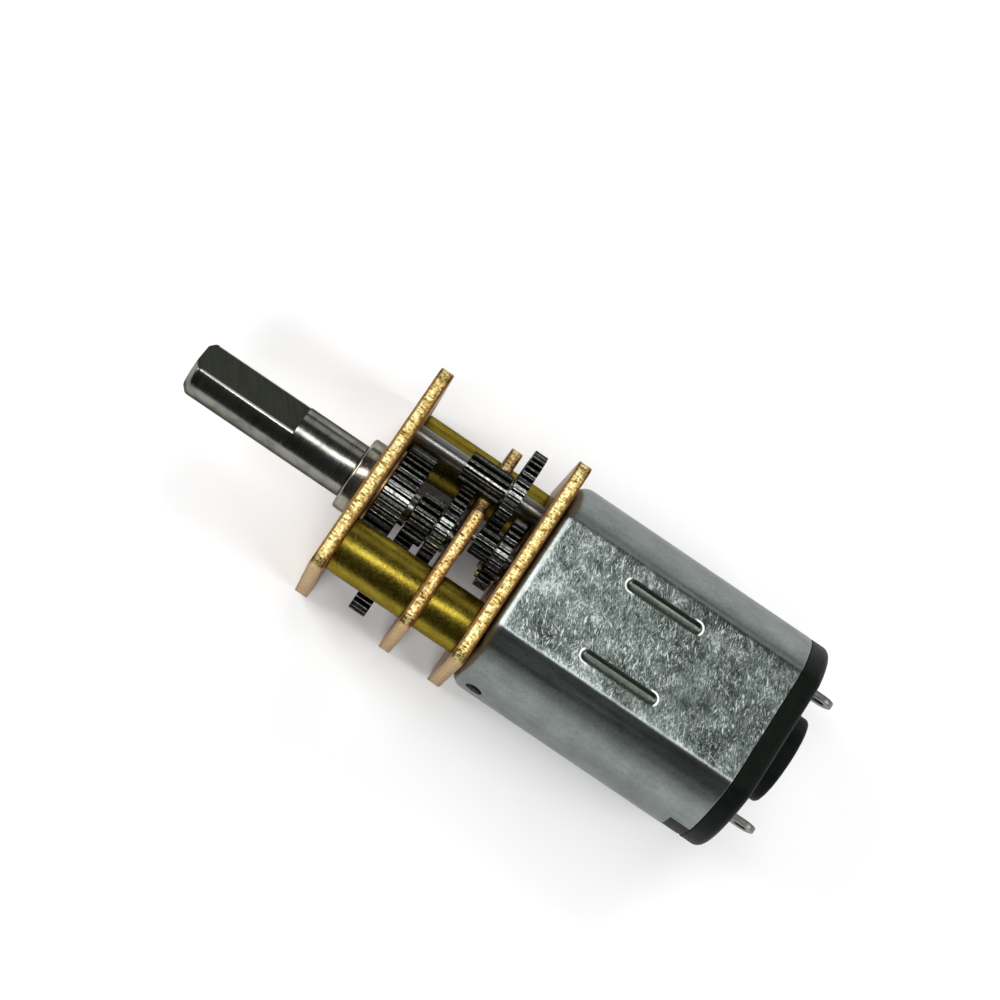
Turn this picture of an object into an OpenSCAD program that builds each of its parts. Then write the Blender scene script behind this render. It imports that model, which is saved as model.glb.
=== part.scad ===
// Micro metal gearmotor: a flat-sided brush motor with a five-stage open-frame spur gearbox and a D-cut output shaft.
// Axes: +X along the output shaft towards its tip, +Y across the wide side of the plates, +Z out of the motor's upper flat.
// Origin: centre of the front plate's front face, on the output shaft's axis.

/* [Frame] */
// Width of the plates and of the motor can, along Y
frame_w = 12; // [11.8:0.1:12.4]
// Height of the plates and of the motor can, along Z
frame_h = 10; // [9.9:0.1:10.4]
// Corner radius of the plates
plate_r = 0.8; // [0.4:0.1:1.0]
// Thickness of the front plate
front_plate_t = 0.75; // [0.6:0.05:0.8]
// Front face of the middle plate, behind the origin
mid_plate_x = 5.2; // [5.15:0.01:5.22]
// Thickness of the middle plate
mid_plate_t = 0.67; // [0.6:0.01:0.7]
// Front face of the rear plate, behind the origin
rear_plate_x = 8.25; // [8.2:0.05:8.3]
// Thickness of the rear plate
rear_plate_t = 0.75; // [0.6:0.05:0.8]
// Outer diameter of the brass spacers
post_d = 3; // [2.6:0.1:3.1]

/* [Output] */
// Diameter of the output shaft
shaft_d = 3; // [2.8:0.1:3.2]
// How far the output shaft stands out of the front plate
shaft_out = 10.4; // [8:0.1:14]
// Length of the flat on the output shaft
flat_len = 6.05; // [3:0.05:6.5]
// Distance of the flat from the shaft's axis
flat_depth = 1.0; // [0.9:0.05:1.2]
// Direction of the flat's normal at rest, from +Y towards +Z
flat_dir = 125; // [0:1:359]
// Outer diameter of the raised bush on the front plate
boss_d = 4.1; // [4:0.05:4.4]
// Height of the raised bush
boss_h = 0.8; // [0.5:0.05:1.2]
// Distance between the two front mounting holes
mount_spacing = 9; // [8.8:0.1:9.2]
// Diameter of the front mounting holes
mount_hole_d = 1.6; // [1.2:0.1:1.8]

/* [Gears] */
// Module of every gear
gear_module = 0.1472; // [0.1465:0.0001:0.1475]
// Pressure angle
pressure_angle = 20; // [18:1:22]
// Profile shift, in modules: added to the pinions, taken from the wheels
profile_shift = 0.35; // [0.3:0.01:0.4]
// Play that is taken from each tooth's thickness at the pitch circle
tooth_play = 0.024; // [0.022:0.001:0.03]
// Diameter of the idler pins
idler_pin_d = 1.0; // [0.9:0.02:1.0]

/* [Motor] */
// Length of the motor can
can_len = 14.15; // [14:0.05:15]
// Wall thickness of the motor can
can_wall = 0.6; // [0.4:0.05:0.6]
// Length of the pressed grooves on the flats
groove_len = 4.45; // [3:0.05:6]
// Width of the pressed grooves
groove_w = 0.7; // [0.4:0.05:0.9]
// Distance between the two grooves of a flat
groove_pitch = 4.2; // [3:0.1:4.5]
// Thickness of the end cap behind the can
cap_t = 1.15; // [1:0.05:1.4]
// Diameter of the end cap's round hub
hub_d = 4.95; // [4.6:0.05:5.2]
// Height of the end cap's round hub
hub_h = 1.15; // [0.9:0.05:1.4]
// Distance between the two terminals
terminal_pitch = 7.6; // [7.4:0.1:7.8]

/* [Hidden] */
$fn = 64;

// tooth counts, from the motor to the output
z_motor = 11;
z_first_gear = 26;   z_first_pinion = 9;
z_second_gear = 35;  z_second_pinion = 10;
z_third_gear = 38;   z_third_pinion = 16;
z_fourth_gear = 32;  z_fourth_pinion = 10;
z_output = 38;

// arbor positions in the plates, as [y, z]
arbor_r = gear_module * (z_second_pinion + z_third_gear) / 2;
arbor_dir = 153.07;
c0 = [0, 0];
c2 = [arbor_r * cos(arbor_dir), arbor_r * sin(arbor_dir)];
c4 = -c2;
// first gear's pin: meets both the motor pinion and the second gear
d_a = gear_module * (z_motor + z_first_gear) / 2;
d_b = gear_module * (z_first_pinion + z_second_gear) / 2;
c1_turn = acos((d_a * d_a + arbor_r * arbor_r - d_b * d_b) / (2 * d_a * arbor_r));
c1 = [d_a * cos(arbor_dir - c1_turn), d_a * sin(arbor_dir - c1_turn)];

// brass spacers and screws
posts = [[4.0, 3.4], [-4.0, -3.4]];

// running play of a shaft in its hole
play = 0.025;
journal_r = shaft_d / 2 - 0.2;
idler_r = idler_pin_d / 2;
inner_r = 0.6;
first_pin_r = 0.3;
motor_shaft_r = 0.5;

// stations along X, all measured backwards from the front plate's front face
x_front = front_plate_t;
x_out0 = 0.95;   x_out1 = 2.42;
x_d0 = 0.95;     x_fourth0 = 2.78;  x_fourth1 = 3.73;
x_tp0 = 2.80;    x_third0 = 4.15;   x_third1 = 4.90;
x_sp0 = 3.70;    x_second0 = 6.21;  x_second1 = 6.95;
x_mid1 = mid_plate_x + mid_plate_t;
x_fp0 = 6.12;    x_first0 = 7.25;   x_first1 = 7.95;
x_rear1 = rear_plate_x + rear_plate_t;
can_r = frame_w / 2;
can_flat = frame_h / 2;
x_can1 = x_rear1 + can_len;
x_cap1 = x_can1 + cap_t;
x_hub1 = x_cap1 + hub_h;

// phases: the angle of one tooth's middle, from +Y towards +Z
function dir(a, b) = atan2(b[1] - a[1], b[0] - a[0]);
function meshed(beta, phi, z_a, z_b) = beta + 180 + (180 - (phi - beta) * z_a) / z_b;
phi_output = 3.2;
phi_fourth_pinion = meshed(dir(c0, c4), phi_output, z_output, z_fourth_pinion);
phi_fourth_gear = 1.5;
phi_third_pinion = meshed(dir(c4, c0), phi_fourth_gear, z_fourth_gear, z_third_pinion);
phi_third_gear = 0.9;
phi_second_pinion = meshed(dir(c0, c2), phi_third_gear, z_third_gear, z_second_pinion);
phi_second_gear = 4.0;
phi_first_pinion = meshed(dir(c2, c1), phi_second_gear, z_second_gear, z_first_pinion);
phi_first_gear = 5.0;
phi_motor = meshed(dir(c1, c0), phi_first_gear, z_first_gear, z_motor);

// involute tooth form
function inv_deg(a) = tan(a) * 180 / PI - a;
function pitch_r(z) = gear_module * z / 2;
function base_r(z) = pitch_r(z) * cos(pressure_angle);
function tip_r(z, x) = pitch_r(z) + gear_module * (0.8 + x);
function root_r(z, x) = pitch_r(z) - gear_module * (1.08 - x);
function half_tooth(z, x, r) =
    (gear_module * (PI / 2 + 2 * x * tan(pressure_angle)) - tooth_play) / (2 * pitch_r(z)) * 180 / PI
    + inv_deg(pressure_angle) - (r > base_r(z) ? inv_deg(acos(base_r(z) / r)) : 0);
function flank(z, x) =
    let (r0 = max(base_r(z), root_r(z, x)), r1 = tip_r(z, x),
         rs = concat(root_r(z, x) < r0 - 0.003 ? [root_r(z, x)] : [], [for (i = [0:3]) r0 + (r1 - r0) * i / 3]))
    [for (r = rs) [r, half_tooth(z, x, r)]];
function gear_points(z, x, phi) =
    let (f = flank(z, x), n = len(f))
    [for (k = [0:z - 1], j = [0:2 * n - 1])
        let (p = j < n ? f[j] : f[2 * n - 1 - j], s = j < n ? -1 : 1, a = phi + k * 360 / z + s * p[1])
        [p[0] * cos(a), p[0] * sin(a)]];

// something drawn in the XY plane and grown along Z, put at [y, z] from station x0 back to x1
module along(x0, x1, c = [0, 0]) {
    translate([-x1, c[0], c[1]]) rotate([90, 0, 90]) linear_extrude(x1 - x0) children();
}
module rod(x0, x1, r, c = [0, 0]) {
    along(x0, x1, c) circle(r);
}
// a solid of revolution about the X axis: profile points are [radius, station]
module turned(points, c = [0, 0]) {
    translate([0, c[0], c[1]]) rotate([90, 0, 90]) mirror([0, 0, 1]) rotate_extrude() polygon(points);
}
module spur(z, x, phi, x0, x1, c, bore) {
    along(x0, x1, c) difference() {
        polygon(gear_points(z, x, phi));
        circle(bore);
    }
}
module wheel(z, phi, x0, x1, c, bore) {
    spur(z, -profile_shift, phi, x0, x1, c, bore);
}
// pinion with a plain shoulder that carries its wheel
module pinion(z, phi, x0, x1, s0, s1, c, bore, shoulder) {
    along(x0, x1, c) difference() {
        polygon(gear_points(z, profile_shift, phi));
        circle(bore);
    }
    along(s0, s1, c) difference() {
        circle(shoulder);
        circle(bore);
    }
}

module plate_outline() {
    w = frame_w / 2 - plate_r;
    h = frame_h / 2 - plate_r;
    square([frame_w, 2 * h], center = true);
    square([2 * w, frame_h], center = true);
    for (i = [-1, 1], j = [-1, 1]) translate([i * w, j * h]) circle(plate_r);
}
module countersink(x0, x1, r0, r1, c) {
    turned([[0, x0 - 0.01], [r0, x0 - 0.01], [r0, x0], [r1, x0 + r0 - r1], [r1, x1 + 0.01], [0, x1 + 0.01]], c);
}

screw_head_r = 1.05;
screw_r = 0.6;
post_bore_r = 0.8;
bush_r = 1.75;

module front_plate() {
    color([0.86, 0.72, 0.45]) difference() {
        along(0, x_front) plate_outline();
        rod(-1, x_front + 1, bush_r);
        for (s = [-1, 1]) rod(-1, x_front + 1, mount_hole_d / 2, [s * mount_spacing / 2, 0]);
        for (c = posts) countersink(0, x_front, screw_head_r, screw_r + 0.05, c);
        rod(0.25, x_front + 1, idler_r, c2);
        rod(0.25, x_front + 1, idler_r, c4);
    }
}
module mid_plate() {
    color([0.86, 0.72, 0.45]) difference() {
        along(mid_plate_x, x_mid1) difference() {
            plate_outline();
            polygon([[-0.9, 6], [-0.9, 3.2], [-1.25, 2.2], [-1.8, 1.25], [-2.9, 0.2], [-4.6, -0.6], [-7, -1.1], [-7, 6]]);
        }
        rod(mid_plate_x - 1, x_mid1 + 1, inner_r + play);
        rod(mid_plate_x - 1, x_mid1 + 1, idler_r, c4);
        rod(mid_plate_x - 1, x_mid1 + 1, first_pin_r, c1);
        for (c = posts) rod(mid_plate_x - 1, x_mid1 + 1, post_bore_r, c);
    }
}
module rear_plate() {
    color([0.86, 0.72, 0.45]) difference() {
        along(rear_plate_x, x_rear1) plate_outline();
        rod(rear_plate_x - 1, x_rear1 + 1, 1.6);
        rod(rear_plate_x - 1, x_rear1 - 0.25, idler_r, c2);
        rod(rear_plate_x - 1, x_rear1 - 0.25, idler_r, c4);
        rod(rear_plate_x - 1, x_rear1 + 1, first_pin_r, c1);
        for (s = [-1, 1]) countersink(rear_plate_x, x_rear1, 0.85, 0.5, motor_screw_at(s));
        for (c = posts) rod(rear_plate_x - 1, x_rear1 + 1, screw_r - 0.1, c);
    }
}
function motor_screw_at(s) = s * [2.7, 2.2];

module output_bush() {
    color([0.62, 0.62, 0.6]) difference() {
        union() {
            turned([[0, x_front - 0.01], [bush_r, x_front - 0.01], [bush_r, 0], [boss_d / 2, 0],
                [boss_d / 2, -boss_h + 0.16], [boss_d / 2 - 0.05, -boss_h + 0.05], [boss_d / 2 - 0.16, -boss_h], [0, -boss_h]]);
        }
        rod(-boss_h - 1, x_front + 1, journal_r + play);
    }
}
module thrust_washer() {
    color([0.78, 0.62, 0.32]) along(x_front + 0.02, x_out0 - 0.03) difference() {
        circle(2.35);
        circle(journal_r + play);
    }
}
module spacer(x0, x1, c) {
    b = 0.1;
    difference() {
        turned([[0, x0], [post_d / 2 - b, x0], [post_d / 2, x0 + b], [post_d / 2, x1 - b], [post_d / 2 - b, x1], [0, x1]], c);
        rod(x0 - 1, x1 + 1, post_bore_r, c);
    }
}
module front_spacers() {
    color([0.72, 0.6, 0.12]) for (c = posts) spacer(x_front, mid_plate_x, c);
}
module rear_spacers() {
    color([0.72, 0.6, 0.12]) for (c = posts) spacer(x_mid1, rear_plate_x, c);
}
module tie_screws() {
    color([0.55, 0.55, 0.53]) for (c = posts) difference() {
        turned([[0, 0.02], [screw_head_r - 0.05, 0.02], [screw_r, screw_head_r - screw_r - 0.03],
            [screw_r, rear_plate_x - 0.02], [screw_r - 0.1, rear_plate_x], [screw_r - 0.1, x_rear1 - 0.1], [0, x_rear1 - 0.1]], c);
        translate([0, c[0], c[1]]) rotate([35, 0, 0]) cube([0.5, 0.22, 3], center = true);
    }
}
module motor_screws() {
    color([0.55, 0.55, 0.53]) for (s = [-1, 1]) difference() {
        turned([[0, rear_plate_x + 0.02], [0.8, rear_plate_x + 0.02], [0.45, rear_plate_x + 0.37],
            [0.45, x_rear1 + can_wall + 0.2], [0, x_rear1 + can_wall + 0.2]], motor_screw_at(s));
        translate([-rear_plate_x, motor_screw_at(s)[0], motor_screw_at(s)[1]]) {
            cube([0.4, 0.2, 1.1], center = true);
            cube([0.4, 1.1, 0.2], center = true);
        }
    }
}
module pin(x0, x1, r, c) {
    b = 0.08;
    turned([[0, x0], [r - b, x0], [r, x0 + b], [r, x1 - b], [r - b, x1], [0, x1]], c);
}
module idler_pin_second_gear() {
    color([0.5, 0.5, 0.48]) pin(0.27, x_rear1 - 0.27, idler_r, c2);
}
module idler_pin_fourth_gear() {
    color([0.5, 0.5, 0.48]) pin(0.27, x_rear1 - 0.27, idler_r, c4);
}
module first_gear_pin() {
    color([0.5, 0.5, 0.48]) pin(mid_plate_x + 0.02, x_rear1 - 0.02, first_pin_r, c1);
}

module output_shaft() {
    b = 0.38;
    r = shaft_d / 2;
    flat_r = r - 0.004;
    flat_x = -shaft_out + flat_len;
    color([0.4, 0.4, 0.4]) difference() {
        // the journal in the bush is stepped down, and the stretch with the flat is turned a hair smaller
        turned([[0, -shaft_out], [r - b, -shaft_out], [r - 0.12, -shaft_out + 0.1], [flat_r, -shaft_out + b],
            [flat_r, flat_x], [r, flat_x], [r, -boss_h - 0.04], [journal_r, -boss_h - 0.04],
            [journal_r, x_out1], [inner_r + 0.35, x_out1], [inner_r + 0.35, x_tp0 - 0.06], [inner_r, x_tp0 - 0.06],
            [inner_r, x_mid1 + 0.06], [inner_r - 0.12, x_mid1 + 0.14], [0, x_mid1 + 0.14]]);
        translate([shaft_out - flat_len, 0, 0]) rotate([flat_dir, 0, 0])
            translate([0, flat_depth, -3]) cube([flat_len + 1, 3, 6]);
    }
}
module output_gear() {
    color([0.33, 0.33, 0.32]) wheel(z_output, phi_output, x_out0, x_out1, c0, journal_r);
}
module fourth_reduction_gear() {
    color([0.33, 0.33, 0.32]) wheel(z_fourth_gear, phi_fourth_gear, x_fourth0, x_fourth1, c4, 0.6);
}
module fourth_reduction_pinion() {
    color([0.33, 0.33, 0.32])
        pinion(z_fourth_pinion, phi_fourth_pinion, x_d0, x_fourth0, x_fourth0, x_fourth1 + 0.06, c4, idler_r + play, 0.6);
}
module third_reduction_gear() {
    color([0.33, 0.33, 0.32]) wheel(z_third_gear, phi_third_gear, x_third0, x_third1, c0, 0.95);
}
module third_reduction_pinion() {
    color([0.33, 0.33, 0.32])
        pinion(z_third_pinion, phi_third_pinion, x_tp0, x_third0 - 0.1, x_third0 - 0.1, x_third1 + 0.22, c0, inner_r + play, 0.95);
}
module second_reduction_gear() {
    color([0.33, 0.33, 0.32]) wheel(z_second_gear, phi_second_gear, x_second0, x_second1, c2, 0.6);
}
module second_reduction_pinion() {
    color([0.33, 0.33, 0.32])
        pinion(z_second_pinion, phi_second_pinion, x_sp0, x_second0 - 0.12, x_second0 - 0.12, x_second1 + 0.1, c2, idler_r + play, 0.6);
}
module first_reduction_gear() {
    color([0.33, 0.33, 0.32]) wheel(z_first_gear, phi_first_gear, x_first0, x_first1, c1, 0.5);
}
module first_reduction_pinion() {
    color([0.33, 0.33, 0.32])
        pinion(z_first_pinion, phi_first_pinion, x_fp0, x_first0 - 0.06, x_first0 - 0.06, x_first1 + 0.06, c1, first_pin_r + play, 0.5);
}
module motor_pinion() {
    color([0.7, 0.6, 0.3]) spur(z_motor, profile_shift, phi_motor, 7.15, 8.15, c0, motor_shaft_r);
}
module motor_shaft() {
    color([0.6, 0.6, 0.6]) turned([[0, 7.0], [motor_shaft_r - 0.1, 7.0], [motor_shaft_r, 7.1], [motor_shaft_r, x_hub1 - 0.75],
        [motor_shaft_r - 0.1, x_hub1 - 0.65], [0, x_hub1 - 0.65]]);
}

core_x0 = x_rear1 + 2.9;
core_x1 = core_x0 + 6.2;
core_r = 3.85;
module armature_core() {
    color([0.5, 0.5, 0.5]) along(core_x0, core_x1) difference() {
        union() {
            intersection() {
                difference() {
                    circle(core_r);
                    circle(core_r - 0.65);
                }
                for (k = [0:2]) rotate(120 * k) polygon([[0, 0], [6, -8], [9, 0], [6, 8]]);
            }
            for (k = [0:2]) rotate(120 * k) translate([0, -0.6]) square([core_r - 0.3, 1.2]);
            circle(1.2);
        }
        circle(motor_shaft_r);
    }
}
module armature_windings() {
    color([0.72, 0.36, 0.16]) for (k = [0:2]) rotate([120 * k, 0, 0]) difference() {
        translate([-core_x1 - 0.7, 1.35, -1.3]) cube([core_x1 - core_x0 + 1.4, 1.5, 2.6]);
        translate([-core_x1 - 0.01, 1, -0.62]) cube([core_x1 - core_x0 + 0.02, 3, 1.24]);
    }
}
com_x0 = core_x1 + 1.2;
module commutator() {
    color([0.75, 0.45, 0.25]) along(com_x0, com_x0 + 2.1) difference() {
        circle(1.15);
        circle(motor_shaft_r);
        for (k = [0:2]) rotate(60 + 120 * k) translate([0.95, -0.08]) square([1, 0.16]);
    }
}

// outline of the can's section, moved in by d
module can_section(d = 0) {
    intersection() {
        circle(can_r - d, $fn = 128);
        square([2 * frame_w, 2 * (can_flat - d)], center = true);
    }
}
module groove(s) {
    g = groove_w / 2;
    along(x_rear1 + 4.45 + g, x_rear1 + 4.45 + groove_len - g, [0, s * can_flat]) square([groove_w, 0.44], center = true);
    for (e = [g, groove_len - g]) translate([-x_rear1 - 4.45 - e, 0, s * can_flat]) cylinder(h = 0.44, r = g, center = true);
}
notch_x = x_can1 - 1.2;
module motor_can() {
    e = 0.8;
    color([0.62, 0.65, 0.65]) difference() {
        intersection() {
            along(x_rear1, x_can1) can_section();
            turned([[0, x_rear1], [can_r - e, x_rear1], [can_r - 0.24, x_rear1 + 0.24], [can_r + 0.01, x_rear1 + e], [can_r + 0.01, x_can1], [0, x_can1]]);
            // the flats' front edges are rolled down
            translate([0, -frame_w, 0]) rotate([90, 0, 0]) mirror([0, 0, 1]) linear_extrude(2 * frame_w)
                polygon([[-x_rear1, can_flat - 0.8], [-x_rear1 - 0.24, can_flat - 0.24], [-x_rear1 - 0.8, can_flat],
                    [-x_can1 - 1, can_flat], [-x_can1 - 1, -can_flat],
                    [-x_rear1 - 0.8, -can_flat], [-x_rear1 - 0.24, -can_flat + 0.24], [-x_rear1, -can_flat + 0.8]]);
        }
        along(x_rear1 + can_wall, x_can1 + 1) can_section(can_wall);
        rod(x_rear1 - 1, x_rear1 + 2, 1.5);
        for (s = [-1, 1]) {
            rod(x_rear1 - 1, x_rear1 + 2, 0.45, motor_screw_at(s));
            for (t = [-1, 1]) translate([0, t * groove_pitch / 2, 0]) groove(s);
        }
        for (s = [0, 180]) rotate([s, 0, 0]) {
            translate([-x_rear1 - 1.28, 0, 0]) rotate([8.5, 0, 0]) rotate([-90, 0, 0]) cylinder(h = 8, r = 0.42, $fn = 32);
            translate([-x_can1 - 1, 3, -1.5]) cube([2.2, 4, 3]);
        }
    }
}
module end_cap() {
    color([0.1, 0.12, 0.11]) difference() {
        union() {
            intersection() {
                along(x_can1, x_cap1) can_section();
                turned([[0, x_can1], [can_r, x_can1], [can_r, x_cap1 - 0.45], [can_r - 0.12, x_cap1 - 0.14], [can_r - 0.42, x_cap1], [0, x_cap1]]);
                translate([0, -frame_w, 0]) rotate([90, 0, 0]) mirror([0, 0, 1]) linear_extrude(2 * frame_w)
                    polygon([[-x_can1, can_flat], [-x_cap1 + 0.45, can_flat], [-x_cap1 + 0.14, can_flat - 0.12], [-x_cap1, can_flat - 0.42],
                        [-x_cap1, -can_flat + 0.42], [-x_cap1 + 0.14, -can_flat + 0.12], [-x_cap1 + 0.45, -can_flat], [-x_can1, -can_flat]]);
            }
            along(x_can1 - 1.6, x_can1) difference() {
                can_section(can_wall + 0.02);
                can_section(can_wall + 0.8);
            }
            for (s = [0, 180]) rotate([s, 0, 0]) intersection() {
                translate([-x_can1, 4, -1.47]) cube([1.17, 4, 2.94]);
                rod(notch_x, x_can1, can_r - 0.04);
            }
            turned([[0, x_cap1], [hub_d / 2, x_cap1], [hub_d / 2, x_hub1 - 0.2], [hub_d / 2 - 0.2, x_hub1], [0, x_hub1]]);
        }
        rod(x_can1 - 2, x_hub1 - 0.55, 1.4);
        rod(x_can1 - 2, x_hub1 + 1, 0.75);
        turned([[0, x_hub1 + 0.01], [1.75, x_hub1 + 0.01], [1.6, x_hub1 - 0.25], [0, x_hub1 - 0.25]]);
        for (s = [-1, 1]) translate([-x_cap1 - 0.5, s * terminal_pitch / 2 - 0.16, -0.77]) cube([cap_t + 1, 0.32, 1.54]);
    }
}
module terminals() {
    tail = 1.8;
    color([0.7, 0.7, 0.68]) for (s = [-1, 1]) translate([0, s * terminal_pitch / 2 - 0.15, 0]) difference() {
        union() {
            translate([-x_cap1 - tail + 0.75, 0, -0.75]) cube([tail - 0.75 + cap_t + 0.6, 0.3, 1.5]);
            translate([-x_cap1 - tail + 0.75, 0, 0]) rotate([-90, 0, 0]) cylinder(h = 0.3, r = 0.75);
        }
        for (e = [0.72, 1.0]) translate([-x_cap1 - tail + e, -1, 0]) rotate([-90, 0, 0]) cylinder(h = 3, r = 0.3);
        translate([-x_cap1 - tail + 0.72, -1, -0.3]) cube([0.28, 3, 0.6]);
    }
}
module brushes() {
    color([0.75, 0.5, 0.25]) for (s = [-1, 1]) scale_y(s) {
        translate([-x_can1 + 0.62, 1.18, -0.4]) cube([0.9, 0.12, 0.8]);
        translate([-x_can1 + 0.62, 1.3, -0.4]) cube([0.12, terminal_pitch / 2 - 0.15 - 1.3, 0.8]);
    }
}
module scale_y(s) {
    if (s < 0) mirror([0, 1, 0]) children();
    else children();
}
module magnets() {
    color([0.2, 0.2, 0.22]) for (s = [0, 180]) rotate([s, 0, 0]) along(x_rear1 + 2.2, x_rear1 + 10.2) intersection() {
        difference() {
            circle(can_r - can_wall - 0.02);
            circle(4.15);
        }
        polygon([[0, 0], [8, -7.2], [12, 0], [8, 7.2]]);
    }
}
module front_bearing() {
    color([0.7, 0.5, 0.3]) along(x_rear1 - 0.35, x_rear1 + 1.3) difference() {
        circle(1.5);
        circle(motor_shaft_r + play);
    }
}
module rear_bearing() {
    color([0.7, 0.5, 0.3]) along(x_hub1 - 2.0, x_hub1 - 0.55) difference() {
        circle(1.4);
        circle(motor_shaft_r + play);
    }
}

front_plate();
mid_plate();
rear_plate();
output_bush();
thrust_washer();
front_spacers();
rear_spacers();
tie_screws();
motor_screws();
idler_pin_second_gear();
idler_pin_fourth_gear();
first_gear_pin();
output_shaft();
output_gear();
fourth_reduction_gear();
fourth_reduction_pinion();
third_reduction_gear();
third_reduction_pinion();
second_reduction_gear();
second_reduction_pinion();
first_reduction_gear();
first_reduction_pinion();
motor_pinion();
motor_shaft();
armature_core();
armature_windings();
commutator();
motor_can();
end_cap();
terminals();
brushes();
magnets();
front_bearing();
rear_bearing();
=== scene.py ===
import bpy
import bmesh
import math
import random
from math import acos, asin, atan2, cos, degrees, exp, hypot, log, pi, radians, sin, sqrt, tan
from mathutils import Matrix, Vector
from mathutils.geometry import tessellate_polygon


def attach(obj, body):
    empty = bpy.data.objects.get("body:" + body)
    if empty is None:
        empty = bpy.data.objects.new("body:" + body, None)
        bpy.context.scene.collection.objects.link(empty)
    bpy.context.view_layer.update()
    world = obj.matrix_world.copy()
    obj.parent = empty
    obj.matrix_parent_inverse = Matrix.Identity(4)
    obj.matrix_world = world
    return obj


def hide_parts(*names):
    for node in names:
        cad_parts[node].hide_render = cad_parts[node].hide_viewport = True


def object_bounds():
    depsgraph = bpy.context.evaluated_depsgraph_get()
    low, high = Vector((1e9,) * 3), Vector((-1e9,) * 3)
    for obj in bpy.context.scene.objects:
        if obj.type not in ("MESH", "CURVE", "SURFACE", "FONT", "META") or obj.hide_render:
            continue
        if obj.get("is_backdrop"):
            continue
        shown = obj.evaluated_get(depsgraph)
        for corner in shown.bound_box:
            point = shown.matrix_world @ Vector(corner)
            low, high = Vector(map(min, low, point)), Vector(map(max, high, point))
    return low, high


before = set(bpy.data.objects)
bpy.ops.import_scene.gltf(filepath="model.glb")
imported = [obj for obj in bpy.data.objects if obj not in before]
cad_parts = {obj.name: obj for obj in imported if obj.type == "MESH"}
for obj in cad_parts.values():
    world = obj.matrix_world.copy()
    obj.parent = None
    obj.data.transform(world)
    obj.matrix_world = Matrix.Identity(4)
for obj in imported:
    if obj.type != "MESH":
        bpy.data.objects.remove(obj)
CAD_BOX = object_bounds()
MM = 0.001
scene = bpy.context.scene


def as_lists(v):
    if isinstance(v, (int, float)):
        return float(v)
    return [as_lists(x) for x in v]


# ---------------------------------------------------------------- camera
cam_data = bpy.data.cameras.new("camera")
cam = bpy.data.objects.new("camera", cam_data)
scene.collection.objects.link(cam)
cam_data.sensor_width = 36.0
cam_data.lens = 102.245
cam_data.clip_start = 0.005
cam_data.clip_end = 20.0
CAM_ROT = ((-0.8275347291, 0.5610318461, 0.0207253419),
           (-0.5427671536, -0.8089383027, 0.2258819148),
           (0.1434924706, 0.1756760944, 0.9739341973))
CAM_LOC = (-0.0031383, 0.0295888, 0.14074513)
cam.matrix_world = Matrix.Translation(CAM_LOC) @ Matrix(CAM_ROT).to_4x4()
scene.camera = cam

# ---------------------------------------------------------------- the design's numbers, in mm
GM = 0.1472
PA = 20.0
SHIFT = 0.35
TOOTH_PLAY = 0.024
Z = dict(motor=11, g1=26, p1=9, g2=35, p2=10, g3=38, p3=16, g4=32, p4=10, out=38)
ARBOR_R = GM * 48 / 2
ARBOR_DIR = 153.07
C0 = (0.0, 0.0)
C2 = (ARBOR_R * cos(radians(ARBOR_DIR)), ARBOR_R * sin(radians(ARBOR_DIR)))
C4 = (-C2[0], -C2[1])
_da, _db = GM * 37 / 2, GM * 44 / 2
_t = acos((_da ** 2 + ARBOR_R ** 2 - _db ** 2) / (2 * _da * ARBOR_R))
C1 = (_da * cos(radians(ARBOR_DIR) - _t), _da * sin(radians(ARBOR_DIR) - _t))
POSTS = ((4.0, 3.4), (-4.0, -3.4))


def meshed(a, b, phi, za, zb):
    beta = degrees(atan2(b[1] - a[1], b[0] - a[0]))
    return beta + 180 + (180 - (phi - beta) * za) / zb


PH = {"out": 3.2, "g4": 1.5, "g3": 0.9, "g2": 4.0, "g1": 5.0}
PH["p4"] = meshed(C0, C4, PH["out"], Z["out"], Z["p4"])
PH["p3"] = meshed(C4, C0, PH["g4"], Z["g4"], Z["p3"])
PH["p2"] = meshed(C0, C2, PH["g3"], Z["g3"], Z["p2"])
PH["p1"] = meshed(C2, C1, PH["g2"], Z["g2"], Z["p1"])
PH["motor"] = meshed(C1, C0, PH["g1"], Z["g1"], Z["motor"])


# ---------------------------------------------------------------- mesh helpers
def add(name, verts, faces, body, replaces=(), slot=None, mat=None, sharp=32.0):
    me = bpy.data.meshes.new(name)
    me.from_pydata([(x * MM, y * MM, z * MM) for x, y, z in verts], [], faces)
    me.validate()
    bm = bmesh.new()
    bm.from_mesh(me)
    bmesh.ops.remove_doubles(bm, verts=bm.verts, dist=0.0004 * MM)
    bmesh.ops.dissolve_degenerate(bm, dist=0.0001 * MM, edges=bm.edges)
    bmesh.ops.recalc_face_normals(bm, faces=bm.faces)
    bm.to_mesh(me)
    bm.free()
    o = bpy.data.objects.new(name, me)
    scene.collection.objects.link(o)
    finish_piece(o, body, replaces, mat, sharp)
    return o


def finish_piece(o, body, replaces, mat, sharp=32.0):
    me = o.data
    me.polygons.foreach_set("use_smooth", [True] * len(me.polygons))
    me.set_sharp_from_angle(angle=radians(sharp))
    me.update()
    if mat is not None:
        me.materials.clear()
        me.materials.append(mat)
    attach(o, body)
    if replaces:
        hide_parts(*replaces)


def join_meshes(parts):
    """several (verts, faces) lists as one"""
    verts, faces = [], []
    for v, f in parts:
        n = len(verts)
        verts += v
        faces += [tuple(i + n for i in q) for q in f]
    return verts, faces


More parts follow.
